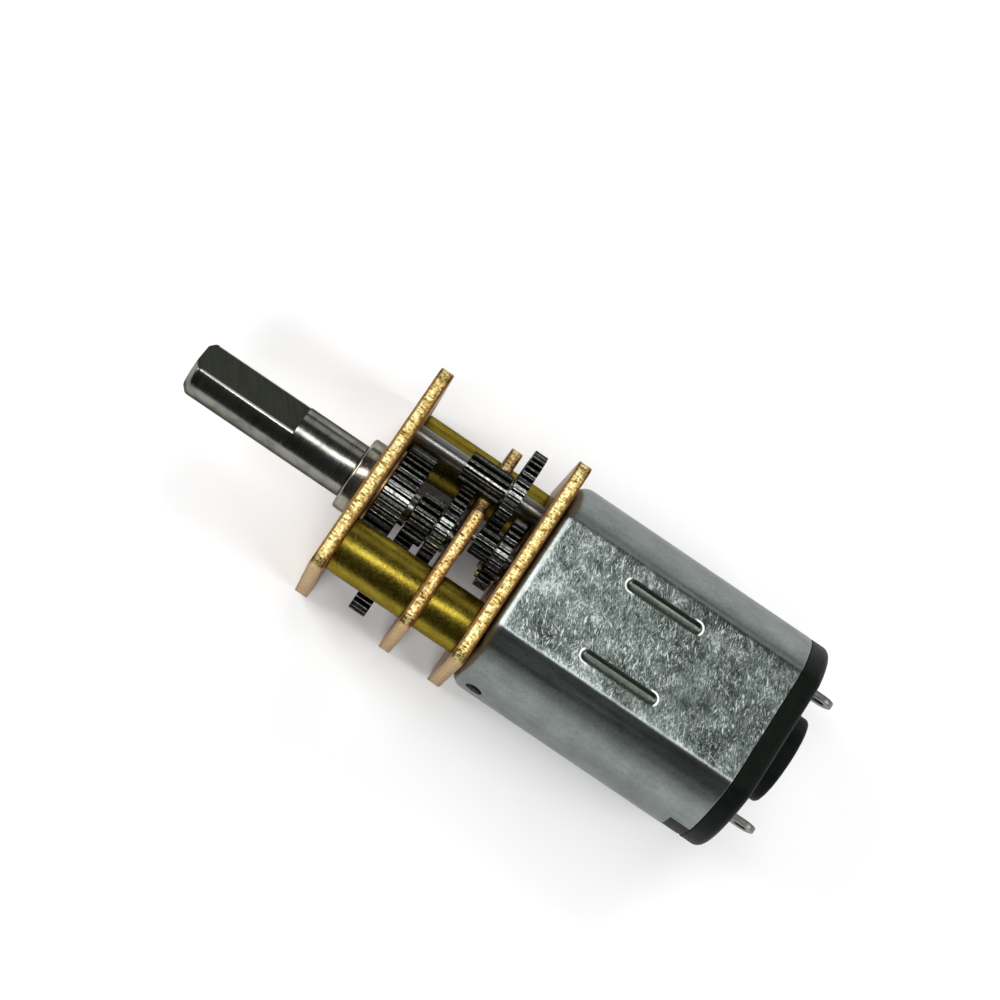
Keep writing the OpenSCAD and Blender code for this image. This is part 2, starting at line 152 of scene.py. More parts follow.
def fillet(points, radii, seg=4):
    """round the corners of a closed polyline; radii is a number or one per point"""
    n = len(points)
    if isinstance(radii, (int, float)):
        radii = [radii] * n
    out = []
    for i in range(n):
        p = Vector(points[i]).to_2d()
        a = Vector(points[i - 1]).to_2d() - p
        b = Vector(points[(i + 1) % n]).to_2d() - p
        r = radii[i]
        if r <= 0 or a.length < 1e-6 or b.length < 1e-6:
            out.append((p.x, p.y))
            continue
        la, lb = a.length, b.length
        a, b = a / la, b / lb
        ang = acos(max(-1, min(1, a.dot(b))))
        if ang > pi - 0.02:
            out.append((p.x, p.y))
            continue
        d = min(r / tan(ang / 2), 0.48 * la, 0.48 * lb)
        r = d * tan(ang / 2)
        bis = (a + b).normalized()
        c = p + bis * (r / sin(ang / 2))
        s, e = p + a * d - c, p + b * d - c
        t0 = atan2(s.y, s.x)
        t1 = atan2(e.y, e.x)
        dt = (t1 - t0 + pi) % (2 * pi) - pi
        k = max(1, seg)
        for j in range(k + 1):
            t = t0 + dt * j / k
            out.append((c.x + r * cos(t), c.y + r * sin(t)))
    return out


def lathe(profile, c=(0, 0), n=96, closed=True):
    """turn (x, r) points about the X axis through c"""
    verts, faces = [], []
    m = len(profile)
    for k in range(n):
        a = 2 * pi * k / n
        for x, r in profile:
            verts.append((x, c[0] + r * cos(a), c[1] + r * sin(a)))
    for k in range(n):
        k2 = (k + 1) % n
        for j in range(m if closed else m - 1):
            j2 = (j + 1) % m
            faces.append((k * m + j, k * m + j2, k2 * m + j2, k2 * m + j))
    return verts, faces


def offset_loop(pts, d):
    """move a counter-clockwise closed loop inwards by d"""
    if abs(d) < 1e-9:
        return list(pts)
    n = len(pts)
    out = []
    for i in range(n):
        p0, p, p1 = Vector(pts[i - 1]), Vector(pts[i]), Vector(pts[(i + 1) % n])
        e0, e1 = (p - p0), (p1 - p)
        if e0.length < 1e-9:
            e0 = e1
        if e1.length < 1e-9:
            e1 = e0
        n0 = Vector((-e0.y, e0.x)).normalized()
        n1 = Vector((-e1.y, e1.x)).normalized()
        b = n0 + n1
        if b.length < 1e-6:
            b = n0.copy()
        b.normalize()
        k = d / max(0.35, b.dot(n0))
        out.append((p.x + b.x * k, p.y + b.y * k))
    return out


def circle_pts(r, c=(0, 0), n=64, a0=0.0):
    return [(c[0] + r * cos(a0 + 2 * pi * i / n), c[1] + r * sin(a0 + 2 * pi * i / n)) for i in range(n)]


def quarter(e, seg=4):
    """(inset, depth) steps of a rounded edge of radius e, from the face inwards to the wall"""
    return [(e * (1 - sin(pi / 2 * j / seg)), e * (1 - cos(pi / 2 * j / seg))) for j in range(seg + 1)]


def slab(x_hi, x_lo, outer, holes, e_hi=0.06, e_lo=0.06, seg=4, levels=0):
    """a plate between x_hi and x_lo. outer is a counter-clockwise (y, z) loop. Each hole is (centre, profile, n) with
    profile = [(x, r), ...] from x_hi to x_lo, or (None, loop, edge) for a hole of free form (counter-clockwise)."""
    verts, faces = [], []

    def ring(loop, x):
        i = len(verts)
        verts.extend((x, y, z) for y, z in loop)
        return list(range(i, i + len(loop)))

    def bridge(a, b):
        n = len(a)
        for i in range(n):
            j = (i + 1) % n
            faces.append((a[i], a[j], b[j], b[i]))

    stack = [(d, x_hi - t) for d, t in quarter(e_hi, seg)]
    for k in range(levels):
        stack.append((0.0, x_hi - e_hi + (x_lo + e_lo - x_hi + e_hi) * (k + 1) / (levels + 1)))
    stack += [(d, x_lo + t) for d, t in reversed(quarter(e_lo, seg))]
    rings = [ring(offset_loop(outer, d), x) for d, x in stack]
    for a, b in zip(rings, rings[1:]):
        bridge(a, b)
    tops, bottoms = [rings[0]], [rings[-1]]
    for h in holes:
        if h[0] is None:
            _, loop, e = h
            st = [(-d, x_hi - t) for d, t in quarter(e, 2)] + [(-d, x_lo + t) for d, t in reversed(quarter(e, 2))]
            hr = [ring(offset_loop(loop, d), x) for d, x in st]
        else:
            c, prof, n = h
            hr = [ring(circle_pts(r, c, n), x) for x, r in prof]
        for a, b in zip(hr, hr[1:]):
            bridge(a, b)
        tops.append(hr[0])
        bottoms.append(hr[-1])
    for group in (tops, bottoms):
        loops = []
        flat = []
        for g in group:
            loops.append([Vector((verts[i][1], verts[i][2], 0)) for i in g])
            flat += g
        for t in tessellate_polygon(loops):
            faces.append(tuple(flat[i] for i in t))
    return verts, faces


def hole(c, r, x_hi, x_lo, e=0.04, n=48, sink=None):
    """the wall of a round hole with broken edges; sink is (radius at the mouth, cone depth)"""
    if sink:
        prof = [(x_hi, sink[0] + 0.02), (x_hi - 0.015, sink[0]), (x_hi - sink[1], r)]
    else:
        prof = [(x_hi, r + e), (x_hi - e * 0.3, r + e * 0.3), (x_hi - e, r)]
    prof += [(x_lo + e, r), (x_lo + e * 0.3, r + e * 0.3), (x_lo, r + e)]
    return (c, prof, n)


# ---------------------------------------------------------------- gears
def inv_deg(a):
    return degrees(tan(radians(a))) - a


def pitch_r(z):
    return GM * z / 2


def base_r(z):
    return pitch_r(z) * cos(radians(PA))


def tip_r(z, x):
    return pitch_r(z) + GM * (0.8 + x)


def root_r(z, x):
    return pitch_r(z) - GM * (1.08 - x)


def half_tooth(z, x, r):
    h = degrees((GM * (pi / 2 + 2 * x * tan(radians(PA))) - TOOTH_PLAY) / (2 * pitch_r(z))) + inv_deg(PA)
    if r > base_r(z):
        h -= inv_deg(degrees(acos(base_r(z) / r)))
    return h


def gear_loop(z, x, phi):
    """outline with rounded tips and filleted roots, counter-clockwise"""
    rt, rr, rb = tip_r(z, x), root_r(z, x), base_r(z)
    r0 = max(rb, rr)
    pitch = 360.0 / z
    f = []
    hr = half_tooth(z, x, max(r0, rr + 0.001))
    gap = pitch / 2 - hr
    fr = min(0.022, 0.45 * gap * pi / 180 * rr)
    f.append((rr, hr + degrees(fr / rr)))
    f.append((rr + 0.30 * fr, hr + degrees(0.42 * fr / rr)))
    f.append((rr + fr, hr + degrees(0.03 * fr / rr)))
    lo = max(r0, rr + fr + 0.004)
    land = radians(half_tooth(z, x, rt)) * rt
    tr = min(0.026, 0.55 * land)
    for i in range(4):
        r = lo + (rt - tr - 0.004 - lo) * i / 3
        f.append((r, half_tooth(z, x, r)))
    for i in range(1, 4):
        t = pi / 2 * i / 3
        r = rt - tr * (1 - sin(t))
        f.append((r, max(0.0, half_tooth(z, x, r) - degrees(tr * (1 - cos(t)) / rt))))
    out = []
    for k in range(z):
        a0 = phi + k * pitch
        out.append((rr, a0 - pitch / 2))
        for r, h in f:
            out.append((r, a0 - h))
        for r, h in reversed(f):
            out.append((r, a0 + h))
    return out


def gear(z, x, phi, x_hi, x_lo, c, bore, shoulder=None, chamfer=0.035, recess=0.0):
    """toothed body; shoulder = (x, r) grows a plain collar from x_lo on. recess sinks the web of a wheel's faces."""
    loop = gear_loop(z, x, phi)
    n = len(loop)
    rt, rr = tip_r(z, x), root_r(z, x)
    verts, faces = [], []

    def ring(fr, xx):
        i = len(verts)
        for r, a in loop:
            q = fr(r)
            verts.append((xx, c[0] + q * cos(radians(a)), c[1] + q * sin(radians(a))))
        return list(range(i, i + n))

    def bridge(a, b):
        for i in range(n):
            j = (i + 1) % n
            faces.append((a[i], a[j], b[j], b[i]))

    ch = chamfer
    outer = [
        ring(lambda r: min(r, rt - ch) - 0.006, x_hi),
        ring(lambda r: min(r, rt - ch * 0.75) - 0.001, x_hi - 0.006),
        ring(lambda r: r, x_hi - ch),
        ring(lambda r: r, (x_hi + x_lo) / 2),
        ring(lambda r: r, x_lo + ch),
        ring(lambda r: min(r, rt - ch * 0.75) - 0.001, x_lo + 0.006),
        ring(lambda r: min(r, rt - ch) - 0.006, x_lo),
    ]
    rims = [(x_hi, rr - 0.03)]
    seq = []
    if recess > 0 and rr - bore > 0.6:
        hub = bore + 0.32
        rim = rr - 0.22
        seq = [(x_lo, rr - 0.03), (x_lo, rim + 0.03), (x_lo + recess * 0.5, rim), (x_lo + recess, rim - 0.05), (x_lo + recess, hub + 0.05),
               (x_lo + recess * 0.5, hub), (x_lo, hub - 0.03), (x_lo, bore + 0.03), (x_lo + 0.03, bore), (x_hi - 0.03, bore), (x_hi, bore + 0.03),
               (x_hi, hub - 0.03), (x_hi - recess * 0.5, hub), (x_hi - recess, hub + 0.05), (x_hi - recess, rim - 0.05), (x_hi - recess * 0.5, rim),
               (x_hi, rim + 0.03), (x_hi, rr - 0.03)]
    elif shoulder:
        sx, sr = shoulder
        seq = [(x_lo, sr + 0.012), (x_lo - 0.012, sr), (sx + 0.02, sr), (sx, sr - 0.02), (sx, bore + 0.015), (sx + 0.015, bore), (x_hi - 0.02, bore), (x_hi, bore + 0.02)]
    else:
        seq = [(x_lo, rr - 0.03), (x_lo, bore + 0.025), (x_lo + 0.025, bore), (x_hi - 0.025, bore), (x_hi, bore + 0.025), (x_hi, rr - 0.03)]
    inner = [ring(lambda r, q=q: q, xx) for xx, q in seq]
    chain = outer + inner
    for a, b in zip(chain, chain[1:]):
        bridge(a, b)
    bridge(chain[-1], chain[0])
    return verts, faces


# ---------------------------------------------------------------- materials
class Mat:
    """a small builder for procedural materials; positions are in millimetres of the part's frame"""

    def __init__(self, name, metallic=1.0, rough=0.35, base=(0.5, 0.5, 0.5), spec=0.5, coat=0.0, coat_rough=0.1, aniso=0.0, edge=1.0):
        self.m = bpy.data.materials.new(name)
        self.m.use_nodes = True
        self.nt = self.m.node_tree
        self.nt.nodes.clear()
        out = self.nt.nodes.new("ShaderNodeOutputMaterial")
        self.b = self.nt.nodes.new("ShaderNodeBsdfPrincipled")
        self.link(self.b.outputs[0], out.inputs[0])
        self.b.inputs["Metallic"].default_value = metallic
        self.b.inputs["Roughness"].default_value = rough
        self.b.inputs["Base Color"].default_value = (*base, 1)
        self.b.inputs["Specular IOR Level"].default_value = spec
        self.b.inputs["Coat Weight"].default_value = coat
        self.b.inputs["Coat Roughness"].default_value = coat_rough
        self.b.inputs["Anisotropic"].default_value = aniso
        self.b.inputs["Specular Tint"].default_value = (edge, edge, edge, 1)
        self.tc = self.nt.nodes.new("ShaderNodeTexCoord")
        self.m.diffuse_color = (*base, 1)

    def link(self, a, b):
        self.nt.links.new(a, b)

    def put(self, socket, value):
        if hasattr(value, "is_output") or isinstance(value, bpy.types.NodeSocket):
            self.link(value, socket)
        elif hasattr(socket.default_value, "__len__"):
            v = list(value)
            if len(socket.default_value) == 4 and len(v) == 3:
                v.append(1)
            socket.default_value = v
        else:
            socket.default_value = value

    def pos(self, scale=(1, 1, 1), rot=(0, 0, 0), loc=(0, 0, 0)):
        """object position in mm, then turned by rot (degrees), moved and stretched"""
        first = self.nt.nodes.new("ShaderNodeMapping")
        first.vector_type = "POINT"
        self.link(self.tc.outputs["Object"], first.inputs["Vector"])
        first.inputs["Scale"].default_value = (1000, 1000, 1000)
        first.inputs["Location"].default_value = loc
        first.inputs["Rotation"].default_value = [radians(a) for a in rot]
        if tuple(scale) == (1, 1, 1):
            return first.outputs[0]
        second = self.nt.nodes.new("ShaderNodeMapping")
        self.link(first.outputs[0], second.inputs["Vector"])
        second.inputs["Scale"].default_value = scale
        return second.outputs[0]

    def noise(self, vec, scale=1.0, detail=3.0, rough=0.55, dist=0.0):
        n = self.nt.nodes.new("ShaderNodeTexNoise")
        self.link(vec, n.inputs["Vector"])
        n.inputs["Scale"].default_value = scale
        n.inputs["Detail"].default_value = detail
        n.inputs["Roughness"].default_value = rough
        n.inputs["Distortion"].default_value = dist
        return n.outputs["Fac"]

    def voronoi(self, vec, scale=1.0, out="Distance", feature="F1", rand=1.0):
        n = self.nt.nodes.new("ShaderNodeTexVoronoi")
        n.feature = feature
        self.link(vec, n.inputs["Vector"])
        n.inputs["Scale"].default_value = scale
        n.inputs["Randomness"].default_value = rand
        return n.outputs[out]

    def wave(self, vec, scale=1.0, dist=0.0, axis="X", detail=2.0, dscale=1.0):
        n = self.nt.nodes.new("ShaderNodeTexWave")
        n.bands_direction = axis
        self.link(vec, n.inputs["Vector"])
        n.inputs["Scale"].default_value = scale
        n.inputs["Distortion"].default_value = dist
        n.inputs["Detail"].default_value = detail
        n.inputs["Detail Scale"].default_value = dscale
        return n.outputs["Fac"]

    def math(self, op, a, b=0.0, clamp=False):
        n = self.nt.nodes.new("ShaderNodeMath")
        n.operation = op
        n.use_clamp = clamp
        self.put(n.inputs[0], a)
        self.put(n.inputs[1], b)
        return n.outputs[0]

    def fit(self, v, a, b, lo=0.0, hi=1.0, smooth=False):
        n = self.nt.nodes.new("ShaderNodeMapRange")
        n.interpolation_type = "SMOOTHSTEP" if smooth else "LINEAR"
        self.put(n.inputs["Value"], v)
        n.inputs["From Min"].default_value = a
        n.inputs["From Max"].default_value = b
        n.inputs["To Min"].default_value = lo
        n.inputs["To Max"].default_value = hi
        return n.outputs[0]

    def xyz(self, vec):
        n = self.nt.nodes.new("ShaderNodeSeparateXYZ")
        self.link(vec, n.inputs[0])
        return n.outputs

    def mix(self, fac, a, b, mode="MIX"):
        n = self.nt.nodes.new("ShaderNodeMix")
        n.data_type = "RGBA"
        n.blend_type = mode
        n.clamp_factor = True
        self.put(n.inputs[0], fac)
        self.put(n.inputs[6], a)
        self.put(n.inputs[7], b)
        return n.outputs[2]

    def mixf(self, fac, a, b):
        n = self.nt.nodes.new("ShaderNodeMix")
        n.data_type = "FLOAT"
        self.put(n.inputs[0], fac)
        self.put(n.inputs[2], a)
        self.put(n.inputs[3], b)
        return n.outputs[0]

    def ramp(self, fac, stops):
        n = self.nt.nodes.new("ShaderNodeValToRGB")
        self.link(fac, n.inputs[0])
        e = n.color_ramp.elements
        while len(e) < len(stops):
            e.new(0.5)
        for el, (p, c) in zip(e, stops):
            el.position = p
            el.color = (*c, 1) if hasattr(c, "__len__") else (c, c, c, 1)
        return n.outputs[0]

    def radius(self, c):
        """distance from the axis through (y, z) = c, in mm"""
        x, y, z = self.xyz(self.pos(loc=(0, -c[0], -c[1])))
        return self.math("SQRT", self.math("ADD", self.math("MULTIPLY", y, y), self.math("MULTIPLY", z, z)))

    def color(self, v):
        self.put(self.b.inputs["Base Color"], v)

    def rough(self, v):
        self.put(self.b.inputs["Roughness"], v)

    def bump(self, height, depth_mm, strength=1.0, under=None):
        n = self.nt.nodes.new("ShaderNodeBump")
        n.inputs["Strength"].default_value = strength
        n.inputs["Distance"].default_value = depth_mm * MM
        self.link(height, n.inputs["Height"])
        if under is not None:
            self.link(under, n.inputs["Normal"])
        return n.outputs[0]

    def normal(self, v):
        self.link(v, self.b.inputs["Normal"])

    def scratches(self, mask_scale, angles, length=1.2, width=16.0, lo=0.66, hi=0.74, seed=0.0, flat="Z"):
        """short straight marks in several directions on the XY plane"""
        total = None
        for i, a in enumerate(angles):
            v = self.pos(scale=(length, width, 0.3), rot=(0, 0, a), loc=(seed + 7.3 * i, 3.1 * i - seed, 0))
            s = self.fit(self.noise(v, mask_scale, 1.0, 0.4), lo, hi)
            total = s if total is None else self.math("MAXIMUM", total, s)
        return total


def mat_plate(name, hi, lo, seed=0.0, hue=(1.0, 1.0, 1.0)):
    """stamped brass sheet between X = hi and X = lo: dull pinkish faces, a bright speckled sheared band
    on the cut edge, a darker torn band behind it, and a dark line of painted shade along both rims"""
    k = Mat(name, 1.0, 0.34, (0.80, 0.60, 0.32), edge=0.6)
    p = k.pos(loc=(0, seed, seed * 0.7))
    x, y, z = k.xyz(k.pos())
    fine = k.noise(p, 6.5, 4, 0.62)
    mid = k.noise(p, 2.6, 4, 0.62)
    big = k.noise(p, 0.8, 3, 0.6)
    grain = k.noise(k.pos(scale=(30, 4, 4)), 1.0, 2, 0.5)
    drag = k.noise(k.pos(scale=(1.6, 9, 9), loc=(0, seed, 0)), 1.0, 3, 0.6)
    # place in the thickness, with a wandering boundary
    wob = k.math("MULTIPLY", k.math("SUBTRACT", mid, 0.5), 0.22)
    xx = k.math("ADD", x, wob)
    sheared = k.fit(xx, lo + (hi - lo) * 0.30, lo + (hi - lo) * 0.42, 0, 1)
    # painted shade: a dark line along both rims of the cut edge, where the rounded corners turn from the light
    rim_shade_a = k.fit(k.math("ADD", x, k.math("MULTIPLY", k.math("SUBTRACT", fine, 0.5), 0.10)), hi - 0.17, hi - 0.09, 0, 1)
    rim_shade_b = k.fit(k.math("ADD", x, k.math("MULTIPLY", k.math("SUBTRACT", fine, 0.5), 0.12)), lo + 0.09, lo + 0.18, 1, 0)
    face = k.math("MAXIMUM", k.fit(x, hi - 0.016, hi - 0.006, 0, 1), k.fit(x, lo + 0.006, lo + 0.016, 1, 0))
    hued = lambda stops: [(at, tuple(min(1.0, a * b) for a, b in zip(c, hue))) for at, c in stops]
    gold = k.ramp(k.math("ADD", k.math("MULTIPLY", fine, 0.5), k.math("MULTIPLY", drag, 0.5)),
                  hued([(0.38, (0.08, 0.042, 0.010)), (0.44, (0.42, 0.28, 0.085)), (0.49, (0.84, 0.67, 0.28)), (0.55, (1.0, 0.97, 0.70))]))
    torn = k.ramp(fine, hued([(0.38, (0.16, 0.080, 0.022)), (0.50, (0.50, 0.34, 0.12)), (0.62, (0.84, 0.66, 0.32))]))
    col = k.mix(sheared, torn, gold)
    # lay the painted rim shade over the edge colour
    col = k.mix(k.math("MULTIPLY", rim_shade_a, 0.90), col, (0.13, 0.050, 0.012))
    col = k.mix(k.math("MULTIPLY", rim_shade_b, 0.95), col, (0.12, 0.045, 0.012))
    specks = k.fit(k.noise(k.pos(scale=(9, 5, 5), loc=(0, seed, 2.0)), 1.0, 2, 0.5), 0.60, 0.68)
    col = k.mix(k.math("MULTIPLY", specks, 0.75), col, (0.20, 0.10, 0.03))
    ends = k.fit(k.math("ABSOLUTE", y), 5.75, 5.95, 0, 1)
    col = k.mix(k.math("MULTIPLY", ends, 0.75), col, k.mix(mid, (0.42, 0.27, 0.145), (0.64, 0.44, 0.24)))
    sheet = k.ramp(k.math("ADD", k.math("MULTIPLY", mid, 0.5), k.math("MULTIPLY", big, 0.5)),
                   [(0.36, (0.40, 0.24, 0.13)), (0.50, (0.54, 0.35, 0.20)), (0.64, (0.64, 0.45, 0.27))])
    k.color(k.mix(face, col, sheet))
    r_edge = k.fit(k.math("ADD", fine, k.math("MULTIPLY", grain, 0.4)), 0.45, 0.95, 0.34, 0.56)
    r_face = k.fit(mid, 0.3, 0.7, 0.26, 0.40)
    k.rough(k.mixf(face, r_edge, r_face))
    n = k.bump(k.math("ADD", fine, k.math("MULTIPLY", drag, 0.6)), 0.045, 0.8)
    n = k.bump(k.noise(p, 30.0, 2, 0.5), 0.004, 0.4, n)
    k.normal(n)
    return k.m


def mat_turned(name, base, dark, rough=0.22, ring=28.0, wear=None, c=(0, 0), depth=0.003, tint=None, grit=0.008, ani=0.0, flecks=0.8, soil=1.0):
    """metal turned on a lathe about X: fine rings, soft stains"""
    k = Mat(name, 1.0, rough, base, aniso=ani, edge=0.45)
    rings = k.noise(k.pos(scale=(ring, 0.6, 0.6)), 1.0, 3, 0.6)
    stain = k.noise(k.pos(scale=(0.9, 1.3, 1.3)), 1.0, 4, 0.62, 0.4)
    fleck = k.noise(k.pos(scale=(9, 9, 9)), 1.0, 3, 0.6)
    col = k.mix(k.fit(stain, 0.38, 0.66, 0.0, soil), base, dark)
    if tint:
        col = k.mix(k.fit(fleck, 0.52, 0.70, 0.0, flecks), col, tint)
    k.color(col)
    k.rough(k.math("ADD", k.fit(rings, 0.3, 0.75, rough * 0.85, rough * 1.25), k.fit(fleck, 0.40, 0.70, 0.0, 0.5 * rough)))
    n = k.bump(rings, depth, 0.5)
    n = k.bump(fleck, grit, 0.5, n)
    k.normal(n)
    return k.m


def mat_gear(name, c, z, x, base=(0.165, 0.170, 0.160), flank_shade_deep=(0.016, 0.015, 0.012), dark=(0.036, 0.036, 0.033), rough=0.26):
    """cut steel: tips worn bright in spots and painted as highlight lines, root floors painted bright as highlight
    lines, flanks painted dark as shade between the teeth, hobbing marks across the teeth
    """
    k = Mat(name, 1.0, rough, base, edge=0.5)
    r = k.radius(c)
    rt, rr = tip_r(z, x), root_r(z, x)
    p = k.pos()
    spots = k.noise(p, 5.0, 4, 0.62)
    fine = k.noise(p, 22.0, 3, 0.6)
    marks = k.noise(k.pos(scale=(1.2, 30, 30)), 1.0, 2, 0.5)
    tip = k.fit(r, rt - 0.009, rt - 0.001, 0.0, 1.0)
    web = k.fit(r, rr - 0.15, rr - 0.03, 1.0, 0.0)
    # painted highlight: the floor between the teeth is painted bright, broken by spots, as a highlight line
    bottom = k.math("MULTIPLY", k.fit(r, rr + 0.004, rr + 0.014, 1.0, 0.0), k.math("SUBTRACT", 1.0, web))
    # painted shade: the flanks between the teeth are painted dark, mottled by spots
    flank_shade = k.mix(k.fit(spots, 0.40, 0.66), dark, flank_shade_deep)
    col = k.mix(k.math("MULTIPLY", bottom, k.fit(spots, 0.40, 0.62, 1.0, 0.25)), flank_shade, tuple(min(1.0, c * 2.1) for c in base))
    # tips worn bright in spots and painted as a highlight line
    bright = k.mix(k.fit(spots, 0.38, 0.62), tuple(min(1.0, c * 1.5) for c in base), tuple(c * 0.42 for c in base))
    col = k.mix(tip, col, bright)
    col = k.mix(web, col, k.mix(k.fit(spots, 0.35, 0.7), base, dark))
    k.color(col)
    k.rough(k.fit(fine, 0.3, 0.72, rough * 0.72, rough * 1.55))
    n = k.bump(marks, 0.004, 0.6)
    n = k.bump(fine, 0.004, 0.5, n)
    k.normal(n)
    return k.m


def mat_shaft(name):
    """ground steel with a milled flat: rings round the shaft, slanting cutter marks on the flat, a painted highlight
    along the flat's edge
    """
    k = Mat(name, 1.0, 0.22, (0.30, 0.30, 0.29), edge=0.25)
    p = k.pos()
    # across the flat's own plane: v runs along its normal
    turned = k.pos(rot=(-125, 0, 0))
    x, u, v = k.xyz(turned)
    on = k.math("MULTIPLY", k.fit(u, 0.95, 0.985, 0, 1), k.fit(u, 1.02, 1.06, 1, 0))
    on = k.math("MULTIPLY", on, k.fit(x, 4.33, 4.36, 0, 1))
    rings = k.noise(k.pos(scale=(34, 0.5, 0.5)), 1.0, 3, 0.6)
    stain = k.noise(p, 1.2, 4, 0.6, 0.3)
    cut = k.noise(k.pos(rot=(-125, -34, 0), scale=(9.0, 0.1, 0.5)), 1.0, 3, 0.6)
    cutfine = k.noise(k.pos(rot=(-125, 0, 0), scale=(14, 0.1, 7.7)), 1.0, 2, 0.5)
    round_col = k.mix(k.fit(stain, 0.40, 0.70), (0.23, 0.23, 0.207), (0.12, 0.12, 0.106))
    flat_col = k.mix(k.fit(cut, 0.2, 0.8), (0.040, 0.043, 0.034), (0.078, 0.082, 0.069))
    rad = k.radius((0, 0))
    # painted highlight: a bright line along the rounded edge of the flat
    flat_edge_highlight = k.math("MULTIPLY", k.math("MULTIPLY", k.fit(rad, 1.486, 1.497, 1, 0), k.fit(u, 0.990, 0.998, 1, 0)), k.math("MULTIPLY", k.fit(x, 4.36, 4.40, 0, 1), k.fit(u, 0.6, 0.7, 0, 1)))
    flat_edge_highlight = k.math("MULTIPLY", flat_edge_highlight, k.fit(x, 9.95, 10.0, 1, 0))
    k.color(k.mix(flat_edge_highlight, k.mix(on, round_col, flat_col), k.mix(stain, (0.85, 0.85, 0.80), (0.55, 0.55, 0.52))))
    r_round = k.fit(rings, 0.3, 0.75, 0.15, 0.30)
    r_flat = k.fit(cutfine, 0.3, 0.7, 0.42, 0.60)
    k.rough(k.mixf(flat_edge_highlight, k.mixf(on, r_round, r_flat), 0.38))
    h = k.mixf(on, rings, k.math("ADD", k.math("MULTIPLY", cut, 0.35), k.math("MULTIPLY", cutfine, 0.8)))
    n = k.bump(h, 0.004, 0.5)
    k.normal(n)
    return k.m


